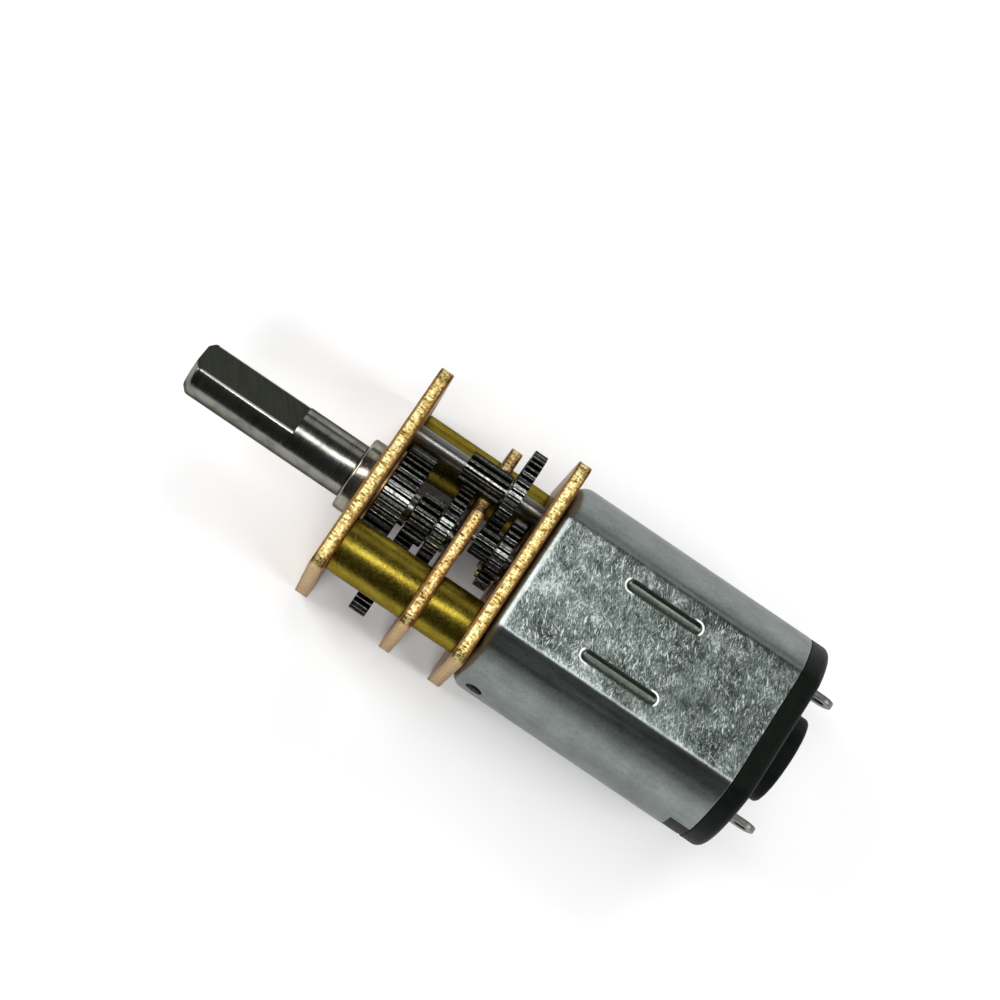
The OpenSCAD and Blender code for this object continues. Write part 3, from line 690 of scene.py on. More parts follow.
def mat_can(name):
    """deep-drawn zinc-coated steel: mottled, rubbed and scratched flats, smooth satin sides, with painted highlights
    and painted shade round the pressed grooves and along the flats' edges
    """
    k = Mat(name, 1.0, 0.4, (0.40, 0.43, 0.42), edge=0.75)
    p = k.pos()
    x, y, z = k.xyz(p)
    az = k.math("ABSOLUTE", z)
    on = k.fit(az, 4.93, 4.975, 0, 1)
    sunk = k.math("MULTIPLY", k.fit(az, 4.70, 4.78, 0, 1), k.fit(az, 4.90, 4.955, 1, 0))
    sunk = k.math("MULTIPLY", sunk, k.math("MULTIPLY", k.fit(x, -18.0, -17.9, 0, 1), k.fit(x, -13.45, -13.35, 1, 0)))
    sunk = k.math("MULTIPLY", sunk, k.fit(k.math("ABSOLUTE", y), 2.6, 2.5, 0, 1))
    ay = k.math("ABSOLUTE", y)
    # where the pressed grooves lie: distance from the line between each groove's two end centres
    ux = k.math("SUBTRACT", k.math("ABSOLUTE", k.math("ADD", x, 15.675)), 1.875)
    along = k.math("MAXIMUM", ux, 0.0)
    across = k.math("SUBTRACT", ay, 2.1)
    q = k.math("SQRT", k.math("ADD", k.math("MULTIPLY", along, along), k.math("MULTIPLY", across, across)))
    lip = k.math("MULTIPLY", k.fit(q, 0.30, 0.345, 0, 1), k.fit(q, 0.39, 0.44, 1, 0))
    # painted highlight: a bright crescent on each groove's lip, opening away from the groove's middle and to one side
    # of it
    lean = k.math("ADD", ux, k.math("MULTIPLY", k.math("SUBTRACT", y, k.math("MULTIPLY", k.math("SIGN", y), 2.1)), k.math("MULTIPLY", k.math("SIGN", k.math("ADD", x, 15.675)), 0.8)))
    groove_lip_highlight = k.math("MULTIPLY", lip, k.fit(lean, 0.02, 0.16, 0, 1))
    # painted shade: a dark band inside each groove's end, on one side
    groove_end_shade = k.math("MULTIPLY", k.math("MULTIPLY", k.fit(q, 0.17, 0.23, 0, 1), k.fit(q, 0.29, 0.33, 1, 0)), k.fit(lean, -0.04, 0.12, 0, 1))
    side = k.math("MULTIPLY", across, k.math("SIGN", y))
    # painted shade: a dark strip down the middle of each groove's straight run, a little towards -Y
    groove_floor_shade = k.math("MULTIPLY", k.math("MULTIPLY", k.fit(side, -0.10, -0.04, 0, 1), k.fit(side, 0.02, 0.07, 1, 0)), k.fit(ux, -0.15, 0.1, 1, 0))
    # painted highlight: a pale strip on the +Y wall of each groove
    groove_wall_highlight = k.math("MULTIPLY", k.math("MULTIPLY", k.fit(side, 0.05, 0.09, 0, 1), k.fit(side, 0.12, 0.17, 1, 0)), k.fit(ux, -0.15, 0.1, 1, 0))
    blot = k.noise(k.pos(loc=(3.1, 0.4, 0)), 0.55, 3, 0.6, 0.8)
    mott = k.noise(k.pos(rot=(0, 0, 66), scale=(0.75, 1.35, 1)), 2.2, 8, 0.80, 0.4)
    mott2 = k.noise(p, 5.0, 6, 0.74, 0.5)
    fine = k.noise(k.pos(rot=(0, 0, 66), scale=(0.6, 1.5, 1)), 9.0, 4, 0.75)
    grit = k.noise(p, 15.0, 3, 0.6)
    warp = k.noise(k.pos(loc=(1.0, 6.0, 0)), 3.0, 2, 0.5)
    # rubbed marks: short strokes in all directions, gathered in patches and broken up
    s1 = k.scratches(1.0, (57, 71, 86), 1.9, 8.0, 0.68, 0.76, 3.0)
    s2 = k.scratches(1.0, (48, 64, 79, 104), 3.2, 13.0, 0.68, 0.76, 11.0)
    s3 = k.scratches(1.0, (62, 20, 128), 0.8, 13.0, 0.72, 0.80, 23.0)
    patch = k.fit(k.noise(k.pos(loc=(9.0, 2.0, 0)), 0.50, 3, 0.6), 0.40, 0.58, 0.20, 1.0)
    patch = k.math("MULTIPLY", k.math("ADD", patch, k.fit(x, -17.0, -10.0, 0.0, 0.45)), k.fit(mott2, 0.36, 0.52, 0.15, 1.0))
    marks = k.math("MULTIPLY", k.math("MAXIMUM", k.math("MAXIMUM", s1, s2), k.math("MULTIPLY", s3, 0.8)), patch, True)
    nick = k.fit(k.math("ADD", k.math("MULTIPLY", k.noise(p, 8.0, 3, 0.6), 0.75), k.math("MULTIPLY", mott, 0.25)), 0.585, 0.66)
    front = k.fit(x, -22.0, -11.0, -0.014, 0.024)
    tone = k.math("ADD", k.math("MULTIPLY", blot, 0.26), k.math("ADD", k.math("MULTIPLY", mott, 0.34), k.math("MULTIPLY", fine, 0.40)))
    tone = k.math("ADD", tone, front)
    # painted highlight: the flats are lifted towards their +Y edge
    rim = k.math("MULTIPLY", k.fit(y, 2.75, 3.25, 0, 1), 0.05)
    tone = k.math("ADD", tone, rim)
    flat_col = k.ramp(k.fit(tone, 0.42, 0.595), [(0.0, (0.024, 0.030, 0.028)), (0.28, (0.055, 0.068, 0.061)), (0.50, (0.100, 0.120, 0.109)), (0.72, (0.160, 0.186, 0.173)), (0.88, (0.26, 0.295, 0.28)), (1.0, (0.46, 0.51, 0.50))])
    flat_col = k.mix(k.math("MULTIPLY", nick, 0.55), flat_col, (0.45, 0.50, 0.49))
    flat_col = k.mix(k.math("MULTIPLY", marks, 0.80), flat_col, (0.62, 0.68, 0.66))
    inside = k.mix(k.fit(mott2, 0.4, 0.65), (0.085, 0.102, 0.081), (0.135, 0.160, 0.128))
    flat_col = k.mix(k.fit(q, 0.27, 0.36, 1, 0), flat_col, inside)
    # lay the grooves' painted shade and painted highlights over the flats
    flat_col = k.mix(k.math("MULTIPLY", groove_floor_shade, 0.65), flat_col, (0.040, 0.048, 0.040))
    flat_col = k.mix(k.math("MULTIPLY", k.math("MULTIPLY", groove_wall_highlight, 0.5), k.fit(mott2, 0.4, 0.6)), flat_col, (0.30, 0.34, 0.30))
    flat_col = k.mix(k.math("MULTIPLY", groove_end_shade, 0.85), flat_col, (0.012, 0.014, 0.012))
    flat_col = k.mix(k.math("MULTIPLY", groove_lip_highlight, 0.90), flat_col, (0.92, 0.97, 0.94))
    # painted highlight: a bright line along the flats' +Y edge, broken by mottling
    plus_y_edge_highlight = k.math("MULTIPLY", k.fit(y, 3.12, 3.22, 0, 1), k.fit(mott2, 0.35, 0.60, 0.35, 1.0))
    flat_col = k.mix(k.math("MULTIPLY", plus_y_edge_highlight, 0.75), flat_col, (0.60, 0.66, 0.67))
    # painted shade: a dark line along the flats' -Y edge
    minus_y_edge_shade = k.fit(y, -3.10, -3.22, 0, 1)
    flat_col = k.mix(k.math("MULTIPLY", minus_y_edge_shade, 0.6), flat_col, (0.06, 0.075, 0.07))
    streak = k.noise(k.pos(scale=(0.12, 2.2, 2.2)), 1.0, 3, 0.6)
    cloud = k.noise(p, 0.6, 5, 0.65)
    side_col = k.ramp(k.math("ADD", k.math("MULTIPLY", streak, 0.25), k.math("ADD", k.math("MULTIPLY", cloud, 0.45), k.math("MULTIPLY", mott2, 0.30))), [(0.38, (0.145, 0.163, 0.155)), (0.5, (0.195, 0.217, 0.207)), (0.62, (0.250, 0.275, 0.264))])
    side_col = k.mix(k.math("MULTIPLY", k.fit(k.noise(p, 9.0, 3, 0.6), 0.56, 0.68), 0.55), side_col, (0.09, 0.10, 0.095))
    k.color(k.mix(k.math("MAXIMUM", on, sunk), side_col, flat_col))
    r_flat = k.math("ADD", k.fit(mott, 0.35, 0.7, 0.46, 0.30), k.math("MULTIPLY", grit, 0.10))
    r_side = k.fit(k.math("ADD", streak, k.math("MULTIPLY", grit, 0.4)), 0.5, 0.95, 0.28, 0.40)
    k.rough(k.mixf(on, r_side, r_flat))
    h1 = k.mixf(on, k.math("MULTIPLY", mott2, 0.35), k.math("ADD", mott2, k.math("MULTIPLY", mott, 0.8)))
    n = k.bump(h1, 0.030, 0.5)
    h2 = k.mixf(on, k.math("MULTIPLY", grit, 0.30), k.math("SUBTRACT", grit, k.math("MULTIPLY", marks, 0.8)))
    n = k.bump(h2, 0.010, 0.55, n)
    k.normal(n)
    return k.m


def mat_plastic(name, base=(0.0045, 0.0062, 0.0048), rough=0.52):
    k = Mat(name, 0.0, rough, base, spec=0.09, edge=0.35)
    p = k.pos()
    g = k.noise(p, 14.0, 3, 0.6)
    g2 = k.noise(p, 1.6, 4, 0.6)
    dust = k.fit(k.noise(p, 7.0, 2, 0.5), 0.66, 0.74)
    col = k.mix(k.fit(g2, 0.35, 0.7), base, tuple(c * 1.7 for c in base))
    k.color(k.mix(k.math("MULTIPLY", dust, 0.25), col, (0.04, 0.045, 0.04)))
    k.rough(k.fit(k.math("ADD", g, k.math("MULTIPLY", g2, 0.6)), 0.5, 1.1, rough - 0.12, rough + 0.14))
    n = k.bump(g, 0.008, 0.45)
    k.normal(n)
    return k.m


def mat_plated(name, base=(0.62, 0.62, 0.60), rough=0.32, scale=4.0):
    k = Mat(name, 1.0, rough, base)
    p = k.pos()
    a = k.noise(p, scale, 4, 0.62)
    b = k.noise(p, scale * 4.5, 3, 0.6)
    k.color(k.mix(k.fit(a, 0.35, 0.7), base, tuple(c * 0.62 for c in base)))
    k.rough(k.fit(b, 0.3, 0.72, rough * 0.7, rough * 1.5))
    n = k.bump(b, 0.006, 0.5)
    k.normal(n)
    return k.m


def mat_laminated(name):
    k = Mat(name, 1.0, 0.4, (0.42, 0.42, 0.42))
    x, y, z = k.xyz(k.pos())
    lam = k.math("PINGPONG", k.math("MULTIPLY", x, 2.8), 1.0)
    line = k.fit(lam, 0.0, 0.22, 0, 1)
    a = k.noise(k.pos(), 3.0, 4, 0.6)
    k.color(k.mix(line, (0.05, 0.045, 0.04), k.mix(a, (0.45, 0.45, 0.45), (0.30, 0.31, 0.33))))
    k.normal(k.bump(line, 0.02, 0.6))
    return k.m


def mat_winding(name):
    k = Mat(name, 1.0, 0.28, (0.70, 0.30, 0.11), coat=0.4, coat_rough=0.2)
    w = k.wave(k.pos(scale=(0.35, 1, 1)), 3.2, 0.25, "DIAGONAL", 1, 1.0)
    a = k.noise(k.pos(), 2.0, 3, 0.6)
    k.color(k.mix(w, (0.28, 0.09, 0.03), k.mix(a, (0.78, 0.36, 0.14), (0.60, 0.24, 0.09))))
    k.normal(k.bump(w, 0.05, 0.8))
    return k.m


def mat_ferrite(name):
    k = Mat(name, 0.0, 0.6, (0.05, 0.05, 0.055))
    a = k.noise(k.pos(), 6.0, 4, 0.65)
    k.color(k.mix(a, (0.03, 0.03, 0.034), (0.09, 0.09, 0.10)))
    k.rough(k.fit(a, 0.3, 0.7, 0.45, 0.75))
    k.normal(k.bump(a, 0.02, 0.5))
    return k.m


M_PLATE_F = mat_plate("brass_plate_front", 0.0, -0.75, 0.0, (0.96, 0.92, 0.74))
M_PLATE_M = mat_plate("brass_plate_middle", -5.2, -5.87, 5.0, (1.0, 0.90, 0.74))
M_PLATE_R = mat_plate("brass_plate_rear", -8.25, -9.0, 9.0, (1.0, 0.97, 0.80))
M_POST = mat_turned("brass_post", (0.228, 0.178, 0.022), (0.165, 0.114, 0.013), 0.27, 16.0, depth=0.002, tint=(0.42, 0.375, 0.07), grit=0.012, flecks=0.25)
M_PIN = mat_turned("pin_steel", (0.24, 0.24, 0.228), (0.14, 0.14, 0.132), 0.28, 22.0, grit=0.002, soil=0.6)
M_BUSH = mat_turned("bush_steel", (0.33, 0.315, 0.27), (0.15, 0.130, 0.098), 0.17, 14.0, grit=0.0015, soil=0.8)
M_SHAFT = mat_shaft("shaft_steel")
M_CAN = mat_can("can_zinc")
M_CAP = mat_plastic("cap_plastic")
M_TIN = mat_plated("terminal_tin", (0.17, 0.18, 0.165), 0.36, 5.0)
M_SCREW = mat_plated("screw_steel", (0.52, 0.52, 0.50), 0.30, 4.0)
M_BRONZE = mat_turned("bearing_bronze", (0.60, 0.40, 0.18), (0.38, 0.24, 0.10), 0.34, 16.0)
M_COM = mat_turned("commutator_copper", (0.72, 0.40, 0.22), (0.45, 0.22, 0.10), 0.25, 22.0)
M_CORE = mat_laminated("core_steel")
M_WIND = mat_winding("winding_copper")
M_FERR = mat_ferrite("magnet_ferrite")

# ---------------------------------------------------------------- plates
X_F, X_M0, X_M1, X_R0, X_R1 = -0.75, -5.2, -5.87, -8.25, -9.0
C_END = -23.15
CAP_END = -24.3
HUB_END = -25.45
OUT_TIP = 10.4


def rounded_rect(w, h, r, seg=8):
    return fillet([(w / 2, h / 2), (-w / 2, h / 2), (-w / 2, -h / 2), (w / 2, -h / 2)], r, seg)


def refine(loop, step):
    """split long sides so the edge can carry small waves"""
    out = []
    n = len(loop)
    for i in range(n):
        a, b = loop[i], loop[(i + 1) % n]
        k = max(1, int(hypot(b[0] - a[0], b[1] - a[1]) / step))
        for j in range(k):
            out.append((a[0] + (b[0] - a[0]) * j / k, a[1] + (b[1] - a[1]) * j / k))
    return out


def ccw(loop):
    s = sum(loop[i - 1][0] * loop[i][1] - loop[i][0] * loop[i - 1][1] for i in range(len(loop)))
    return loop if s > 0 else loop[::-1]


plate_loop = ccw(refine(rounded_rect(12, 10, 0.8), 0.5))
front_holes = [hole((4.5, 0), 0.8, 0, X_F, 0.06), hole((-4.5, 0), 0.8, 0, X_F, 0.06), hole(C0, 1.75, 0, X_F, 0.03, 72)]
front_holes += [hole(c, 0.65, 0, X_F, 0.03, 48, sink=(1.05, 0.4)) for c in POSTS]
front_holes_v = [h for h in front_holes]
add("front_plate_sheet", *slab(0, X_F, plate_loop, front_holes_v, 0.05, 0.09), "housing", ["front_plate"], "brass_plate", M_PLATE_F)

mid_cut = [(-0.9, 6), (-0.9, 3.2), (-1.25, 2.2), (-1.8, 1.25), (-2.9, 0.2), (-4.6, -0.6), (-7, -1.1)]
mid_raw = [(6, 5), (-0.9, 5), (-0.9, 3.2), (-1.25, 2.2), (-1.8, 1.25), (-2.9, 0.2), (-4.6, -0.6), (-6, -0.891), (-6, -5), (6, -5)]
mid_loop = ccw(refine(fillet(mid_raw, [0.8, 0.25, 0.9, 1.2, 1.2, 1.4, 1.2, 0.55, 0.8, 0.8], 6), 0.5))
mid_holes = [hole(C0, 0.625, X_M0, X_M1, 0.03), hole(C4, 0.5, X_M0, X_M1, 0.02), hole(C1, 0.3, X_M0, X_M1, 0.02, 32)]
mid_holes += [hole(c, 0.8, X_M0, X_M1, 0.02) for c in POSTS]
add("middle_plate_sheet", *slab(X_M0, X_M1, mid_loop, mid_holes, 0.05, 0.08), "housing", ["mid_plate"], "brass_plate", M_PLATE_M)

rear_holes = [hole(C0, 1.6, X_R0, X_R1, 0.03, 72), hole(C1, 0.3, X_R0, X_R1, 0.02, 32)]
rear_holes += [hole(c, 0.5, X_R0, X_R1, 0.02, 32) for c in POSTS]
MS = ((2.7, 2.2), (-2.7, -2.2))
rear_holes += [hole(c, 0.5, X_R0, X_R1, 0.02, 36, sink=(0.85, 0.35)) for c in MS]
add("rear_plate_sheet", *slab(X_R0, X_R1, plate_loop, rear_holes, 0.05, 0.09), "housing", ["rear_plate"], "brass_plate", M_PLATE_R)

# ---------------------------------------------------------------- bush, spacers, pins, screws
prof = fillet([(X_F + 0.01, 1.325), (X_F + 0.01, 1.74), (0.0, 1.74), (0.0, 2.05), (0.8, 2.05), (0.8, 1.325)], [0.02, 0.05, 0.0, 0.02, 0.16, 0.06], 5)
add("output_bush_turned", *lathe(prof, C0, 128), "housing", ["output_bush"], "bush_steel", M_BUSH)
prof = fillet([(-0.77, 1.325), (-0.77, 2.35), (-0.92, 2.35), (-0.92, 1.325)], 0.02, 3)
add("thrust_washer_ring", *lathe(prof, C0, 96), "housing", ["thrust_washer"], "bearing_bronze", M_BRONZE)


def spacer(x0, x1, c):
    p = fillet([(x0, 0.8), (x0, 1.5), (x1, 1.5), (x1, 0.8)], [0.03, 0.09, 0.09, 0.03], 4)
    a = []
    for i, q in enumerate(p):
        a.append(q)
    return lathe(a, c, 96)


add("front_spacers_turned", *join_meshes([spacer(X_F, X_M0, c) for c in POSTS]), "housing", ["front_spacers"], "brass_post", M_POST)
add("rear_spacers_turned", *join_meshes([spacer(X_M1, X_R0, c) for c in POSTS]), "housing", ["rear_spacers"], "brass_post", M_POST)


def pin(x0, x1, r, c, n=64):
    return lathe(fillet([(x0, 0.0), (x0, r), (x1, r), (x1, 0.0)], [0, 0.08, 0.08, 0], 4), c, n, closed=False)


add("second_gear_pin_wire", *pin(-0.27, X_R1 + 0.27, 0.5, C2), "housing", ["idler_pin_second_gear"], "pin_steel", M_PIN)
add("fourth_gear_pin_wire", *pin(-0.27, X_R1 + 0.27, 0.5, C4), "housing", ["idler_pin_fourth_gear"], "pin_steel", M_PIN)
add("first_gear_pin_wire", *pin(X_M0 - 0.02, X_R1 + 0.02, 0.3, C1), "housing", ["first_gear_pin"], "pin_steel", M_PIN)


def boolean(o, cutter, op="DIFFERENCE"):
    m = o.modifiers.new("cut", "BOOLEAN")
    m.operation = op
    m.solver = "EXACT"
    m.object = cutter
    bpy.context.view_layer.update()
    deps = bpy.context.evaluated_depsgraph_get()
    new = bpy.data.meshes.new_from_object(o.evaluated_get(deps))
    o.modifiers.clear()
    old = o.data
    o.data = new
    bpy.data.meshes.remove(old)
    bpy.data.objects.remove(cutter)


def raw(name, verts, faces):
    me = bpy.data.meshes.new(name)
    me.from_pydata([(x * MM, y * MM, z * MM) for x, y, z in verts], [], faces)
    bm = bmesh.new()
    bm.from_mesh(me)
    bmesh.ops.remove_doubles(bm, verts=bm.verts, dist=0.0004 * MM)
    bmesh.ops.recalc_face_normals(bm, faces=bm.faces)
    bm.to_mesh(me)
    bm.free()
    o = bpy.data.objects.new(name, me)
    scene.collection.objects.link(o)
    return o


def block(x0, x1, y0, y1, z0, z1, rot=0.0, c=(0.0, 0.0)):
    v = []
    for x in (x0, x1):
        for y in (y0, y1):
            for z in (z0, z1):
                a = radians(rot)
                v.append((x, c[0] + y * cos(a) - z * sin(a), c[1] + y * sin(a) + z * cos(a)))
    f = [(0, 1, 3, 2), (4, 6, 7, 5), (0, 4, 5, 1), (2, 3, 7, 6), (0, 2, 6, 4), (1, 5, 7, 3)]
    return v, f


def screw(c, x_head, head_r, r, x_end, slot_rot, cross=False):
    cone = head_r - r
    p = fillet([(x_head, 0), (x_head, head_r), (x_head - cone, r), (x_end, r), (x_end, 0)], [0, 0.02, 0.05, 0.08, 0], 3)
    o = raw("screw", *lathe(p, c, 64, closed=False))
    w = 0.09 if cross else 0.11
    bars = [block(x_head - 0.24, x_head + 0.2, -w, w, -head_r * (0.62 if cross else 2), head_r * (0.62 if cross else 2), slot_rot, c)]
    if cross:
        bars.append(block(x_head - 0.24, x_head + 0.2, -w, w, -head_r * 0.62, head_r * 0.62, slot_rot + 90, c))
    for b in bars:
        boolean(o, raw("bar", *b))
    me = o.data
    v = [tuple(q / MM for q in t.co) for t in me.vertices]
    f = [tuple(t.vertices) for t in me.polygons]
    bpy.data.objects.remove(o)
    return v, f


add("tie_screws_set", *join_meshes([screw(POSTS[0], -0.02, 1.0, 0.6, X_R1 + 0.3, 35), screw(POSTS[1], -0.02, 1.0, 0.6, X_R1 + 0.3, 101)]), "housing", ["tie_screws"], "screw_steel", M_SCREW)
add("motor_screws_set", *join_meshes([screw(MS[0], X_R0 - 0.02, 0.8, 0.45, -9.8, 12, True), screw(MS[1], X_R0 - 0.02, 0.8, 0.45, -9.8, 57, True)]), "housing", ["motor_screws"], "screw_steel", M_SCREW)

# ---------------------------------------------------------------- output shaft
def build_shaft():
    ri = 0.6
    p = fillet([(OUT_TIP, 0.0), (OUT_TIP, 1.18), (OUT_TIP - 0.30, 1.5), (0.84, 1.5), (0.84, 1.3), (-2.42, 1.3), (-2.42, 0.95), (-2.74, 0.95),
                (-2.74, ri), (-5.93, ri), (-6.01, ri - 0.12), (-6.01, 0.0)],
               [0, 0.10, 0.25, 0.03, 0.0, 0.02, 0.02, 0.02, 0.02, 0.03, 0.03, 0], 4)
    # extra stations keep the long stretches well shaped
    q = []
    for a, b in zip(p, p[1:]):
        k = max(1, int(abs(b[0] - a[0]) / 0.8))
        for j in range(k):
            q.append((a[0] + (b[0] - a[0]) * j / k, a[1] + (b[1] - a[1]) * j / k))
    q.append(p[-1])
    o = raw("shaft", *lathe(q, C0, 160, closed=False))
    a = radians(125)
    flat_x = OUT_TIP - 6.05
    # the cutter's section: the flat, then a small round that runs out into the shaft's surface
    rf = 0.26
    d0 = 1.0 - rf
    w0 = sqrt((1.5 - rf) ** 2 - d0 * d0)
    t1 = atan2(w0, d0)
    sec = [(1.0, w0)]
    for i in range(1, 9):
        t = t1 * i / 8
        sec.append((d0 + rf * cos(t), w0 + rf * sin(t)))
    sec.append((1.9 * cos(t1), 1.9 * sin(t1)))
    sec.append((3.2, 3.0))
    sec = sec[::-1] + [(d, -w) for d, w in sec]
    v = []
    for x in (flat_x, OUT_TIP + 1):
        for d, w in sec:
            v.append((x, d * cos(a) - w * sin(a), d * sin(a) + w * cos(a)))
    m = len(sec)
    f = [tuple(range(m)), tuple(range(2 * m - 1, m - 1, -1))] + [(i, m + i, m + (i + 1) % m, (i + 1) % m) for i in range(m)]
    boolean(o, raw("cut", v, f))
    o.name = "output_shaft_ground"
    finish_piece(o, "output", ["output_shaft"], M_SHAFT, 30)
    return o


build_shaft()

# ---------------------------------------------------------------- gears
def put_gear(name, node, key, z, x, phi, hi, lo, c, bore, body, shoulder=None, recess=0.0, mat=None, slot="gear_steel"):
    m = mat or mat_gear(name + "_steel", c, z, x)
    add(name, *gear(z, x, phi, hi, lo, c, bore, shoulder, recess=recess), body, [node], slot, m, 24)


W, P = -SHIFT, SHIFT
put_gear("output_gear_teeth", "output_gear", "out", Z["out"], W, PH["out"], -0.95, -2.42, C0, 1.3, "output", recess=0.12)
put_gear("fourth_gear_teeth", "fourth_reduction_gear", "g4", Z["g4"], W, PH["g4"], -2.78, -3.73, C4, 0.6, "fourth_cluster", recess=0.12)
put_gear("fourth_pinion_teeth", "fourth_reduction_pinion", "p4", Z["p4"], P, PH["p4"], -0.95, -2.78, C4, 0.525, "fourth_cluster", (-3.79, 0.6))
put_gear("third_gear_teeth", "third_reduction_gear", "g3", Z["g3"], W, PH["g3"], -4.15, -4.90, C0, 0.95, "third_cluster", recess=0.10)
put_gear("third_pinion_teeth", "third_reduction_pinion", "p3", Z["p3"], P, PH["p3"], -2.80, -4.05, C0, 0.625, "third_cluster", (-5.12, 0.95))
put_gear("second_gear_teeth", "second_reduction_gear", "g2", Z["g2"], W, PH["g2"], -6.21, -6.95, C2, 0.6, "second_cluster", recess=0.10)
put_gear("second_pinion_teeth", "second_reduction_pinion", "p2", Z["p2"], P, PH["p2"], -3.70, -6.09, C2, 0.525, "second_cluster", (-7.05, 0.6))
put_gear("first_gear_teeth", "first_reduction_gear", "g1", Z["g1"], W, PH["g1"], -7.25, -7.95, C1, 0.5, "first_cluster", recess=0.08)
put_gear("first_pinion_teeth", "first_reduction_pinion", "p1", Z["p1"], P, PH["p1"], -6.12, -7.19, C1, 0.325, "first_cluster", (-8.01, 0.5))
put_gear("motor_pinion_teeth", "motor_pinion", "motor", Z["motor"], P, PH["motor"], -7.15, -8.15, C0, 0.5, "rotor", slot="pinion_brass",
         mat=mat_gear("motor_pinion_brass", C0, Z["motor"], P, (0.66, 0.50, 0.22), (0.10, 0.06, 0.02), (0.42, 0.30, 0.12)))

# ---------------------------------------------------------------- motor can
CR, CF, WALL = 6.0, 5.0, 0.6
CORNER = acos(CF / CR)  # from the flat's normal to its edge


def can_angles():
    """angles round the section, dense across the grooves and at the flats' edges"""
    ys = [-3.32, -3.24, -3.14, -3.0, -2.85, -2.7, -2.58]
    y = -2.5
    while y < -1.68:
        ys.append(y)
        y += 0.05
    ys += [-1.62, -1.5, -1.2, -0.8, -0.4]
    ys = ys + [0.0] + [-v for v in reversed(ys)]
    top = [atan2(CF, -v) for v in ys][::-1]  # from +Y side to -Y side, angles increasing
    top = sorted(set(round(atan2(CF, v), 7) for v in ys))
    a0, a1 = top[-1], pi + (pi - top[-1])
    n = 44
    side = []
    for i in range(1, n):
        t = i / n
        t = t + 0.10 * sin(2 * pi * t) / (2 * pi) * -1.6
        side.append(a0 + (a1 - a0) * t)
    bottom = [pi + t for t in top]
    side2 = [s + pi for s in side]
    return top + side + bottom + side2


def can_r(phi, d, k=16.0):
    """radius of the section moved in by d, with its corners blended"""
    a = CR - d
    s = abs(sin(phi))
    b = (CF - d) / s if s > 1e-6 else 1e9
    if b > a + 3:
        return a
    m = min(a, b)
    return m - log(exp(-(a - m) * k) + exp(-(b - m) * k)) / k


def groove_depth(x, y):
    """pressed groove: stadium of width 0.7, round bottom, soft lip"""
    best = 0.0
    for yc in (-2.1, 2.1):
        x0, x1 = -13.45 - 0.35, -17.90 + 0.35
        cx = min(max(x, x1), x0)
        q = hypot(x - cx, y - yc)
        if q < 0.35:
            t = q / 0.35
            s = 1 - t
            w = min(1.0, s * 1.5)
            w = w * w * (3 - 2 * w)
            best = max(best, w * (0.86 + 0.14 * s))
    return best


def build_can():
    ang = can_angles()
    n = len(ang)
    e = 0.80
    xs = []
    for j in range(9):
        t = pi / 2 * j / 8
        xs.append((X_R1 - e * (1 - cos(t)), e * (1 - sin(t))))
    x = X_R1 - e
    while x > -13.3:
        x -= 0.6
        if x > -13.35:
            xs.append((x, 0.0))
    x = -13.38
    while x > -18.0:
        xs.append((x, 0.0))
        near_end = x > -13.95 or x < -17.4
        x -= 0.05 if near_end else 0.12
    x = -18.1
    while x > C_END + 0.35:
        xs.append((x, 0.0))
        x -= 0.6
    er = 0.10
    for j in range(5):
        t = pi / 2 * j / 4
        xs.append((C_END + er * (1 - sin(t)), er * (1 - cos(t))))
    verts, rings = [], []
    for x, d in xs:
        ring = []
        for a in ang:
            r = can_r(a, d)
            y, z = r * cos(a), r * sin(a)
            if abs(z) > 4.9 and -18.0 < x < -13.3:
                g = groove_depth(x, y)
                if g > 0:
                    z -= 0.15 * g * (1 if z > 0 else -1)
            ring.append(len(verts))
            verts.append((x, y, z))
        rings.append(ring)
    # rear lip, inside wall and the front face's inside
    for x, d in ((C_END, WALL - 0.04), (C_END + 0.04, WALL), (-18.5, WALL), (-16.0, WALL + 0.02), (-13.0, WALL + 0.02), (X_R1 - WALL - 0.3, WALL), (X_R1 - WALL, WALL + 0.3)):
        ring = []
        for a in ang:
            r = can_r(a, d)
            y, z = r * cos(a), r * sin(a)
            if abs(z) > CF - WALL - 0.05 and abs(y) < 3.0 and -18.0 < x < -13.2:
                z -= 0.18 * (1 if z > 0 else -1)
            ring.append(len(verts))
            verts.append((x, y, z))
        rings.append(ring)
    for x, r in ((X_R1 - WALL, 2.4), (X_R1 - WALL, 1.52), (X_R1 - WALL + 0.02, 1.5), (X_R1 - 0.02, 1.5), (X_R1, 1.52), (X_R1, 3.2)):
        ring = []
        for a in ang:
            ring.append(len(verts))
            verts.append((x, r * cos(a), r * sin(a)))
        rings.append(ring)
    faces = []
    chain = rings + [rings[0]]
    for a, b in zip(chain, chain[1:]):
        for i in range(n):
            j = (i + 1) % n
            faces.append((a[i], a[j], b[j], b[i]))
    o = raw("motor_can_drawn", verts, faces)
    for s in (0, pi):
        a = radians(8.5) + s
        # small round hole in the side
        cyl, cf = [], []
        m = 28
        ax = Vector((0, cos(a), sin(a)))
        u, w = Vector((1, 0, 0)), Vector((0, -sin(a), cos(a)))
        for t in (4.6, 6.6):
            for i in range(m):
                q = Vector((X_R1 - 1.28, 0, 0)) + ax * t + (u * cos(2 * pi * i / m) + w * sin(2 * pi * i / m)) * (0.40 if t < 6 else 0.50)
                cyl.append(tuple(q))
        cf = [tuple(range(m))[::-1], tuple(range(m, 2 * m))] + [(i, (i + 1) % m, m + (i + 1) % m, m + i) for i in range(m)]
        boolean(o, raw("cyl", cyl, cf))
        sg = 1 if s == 0 else -1
        boolean(o, raw("notch", *block(C_END - 1, C_END + 1.2, 3 * sg, 7 * sg, -1.5, 1.5)))
    finish_piece(o, "housing", ["motor_can"], M_CAN, 40)
    return o


build_can()


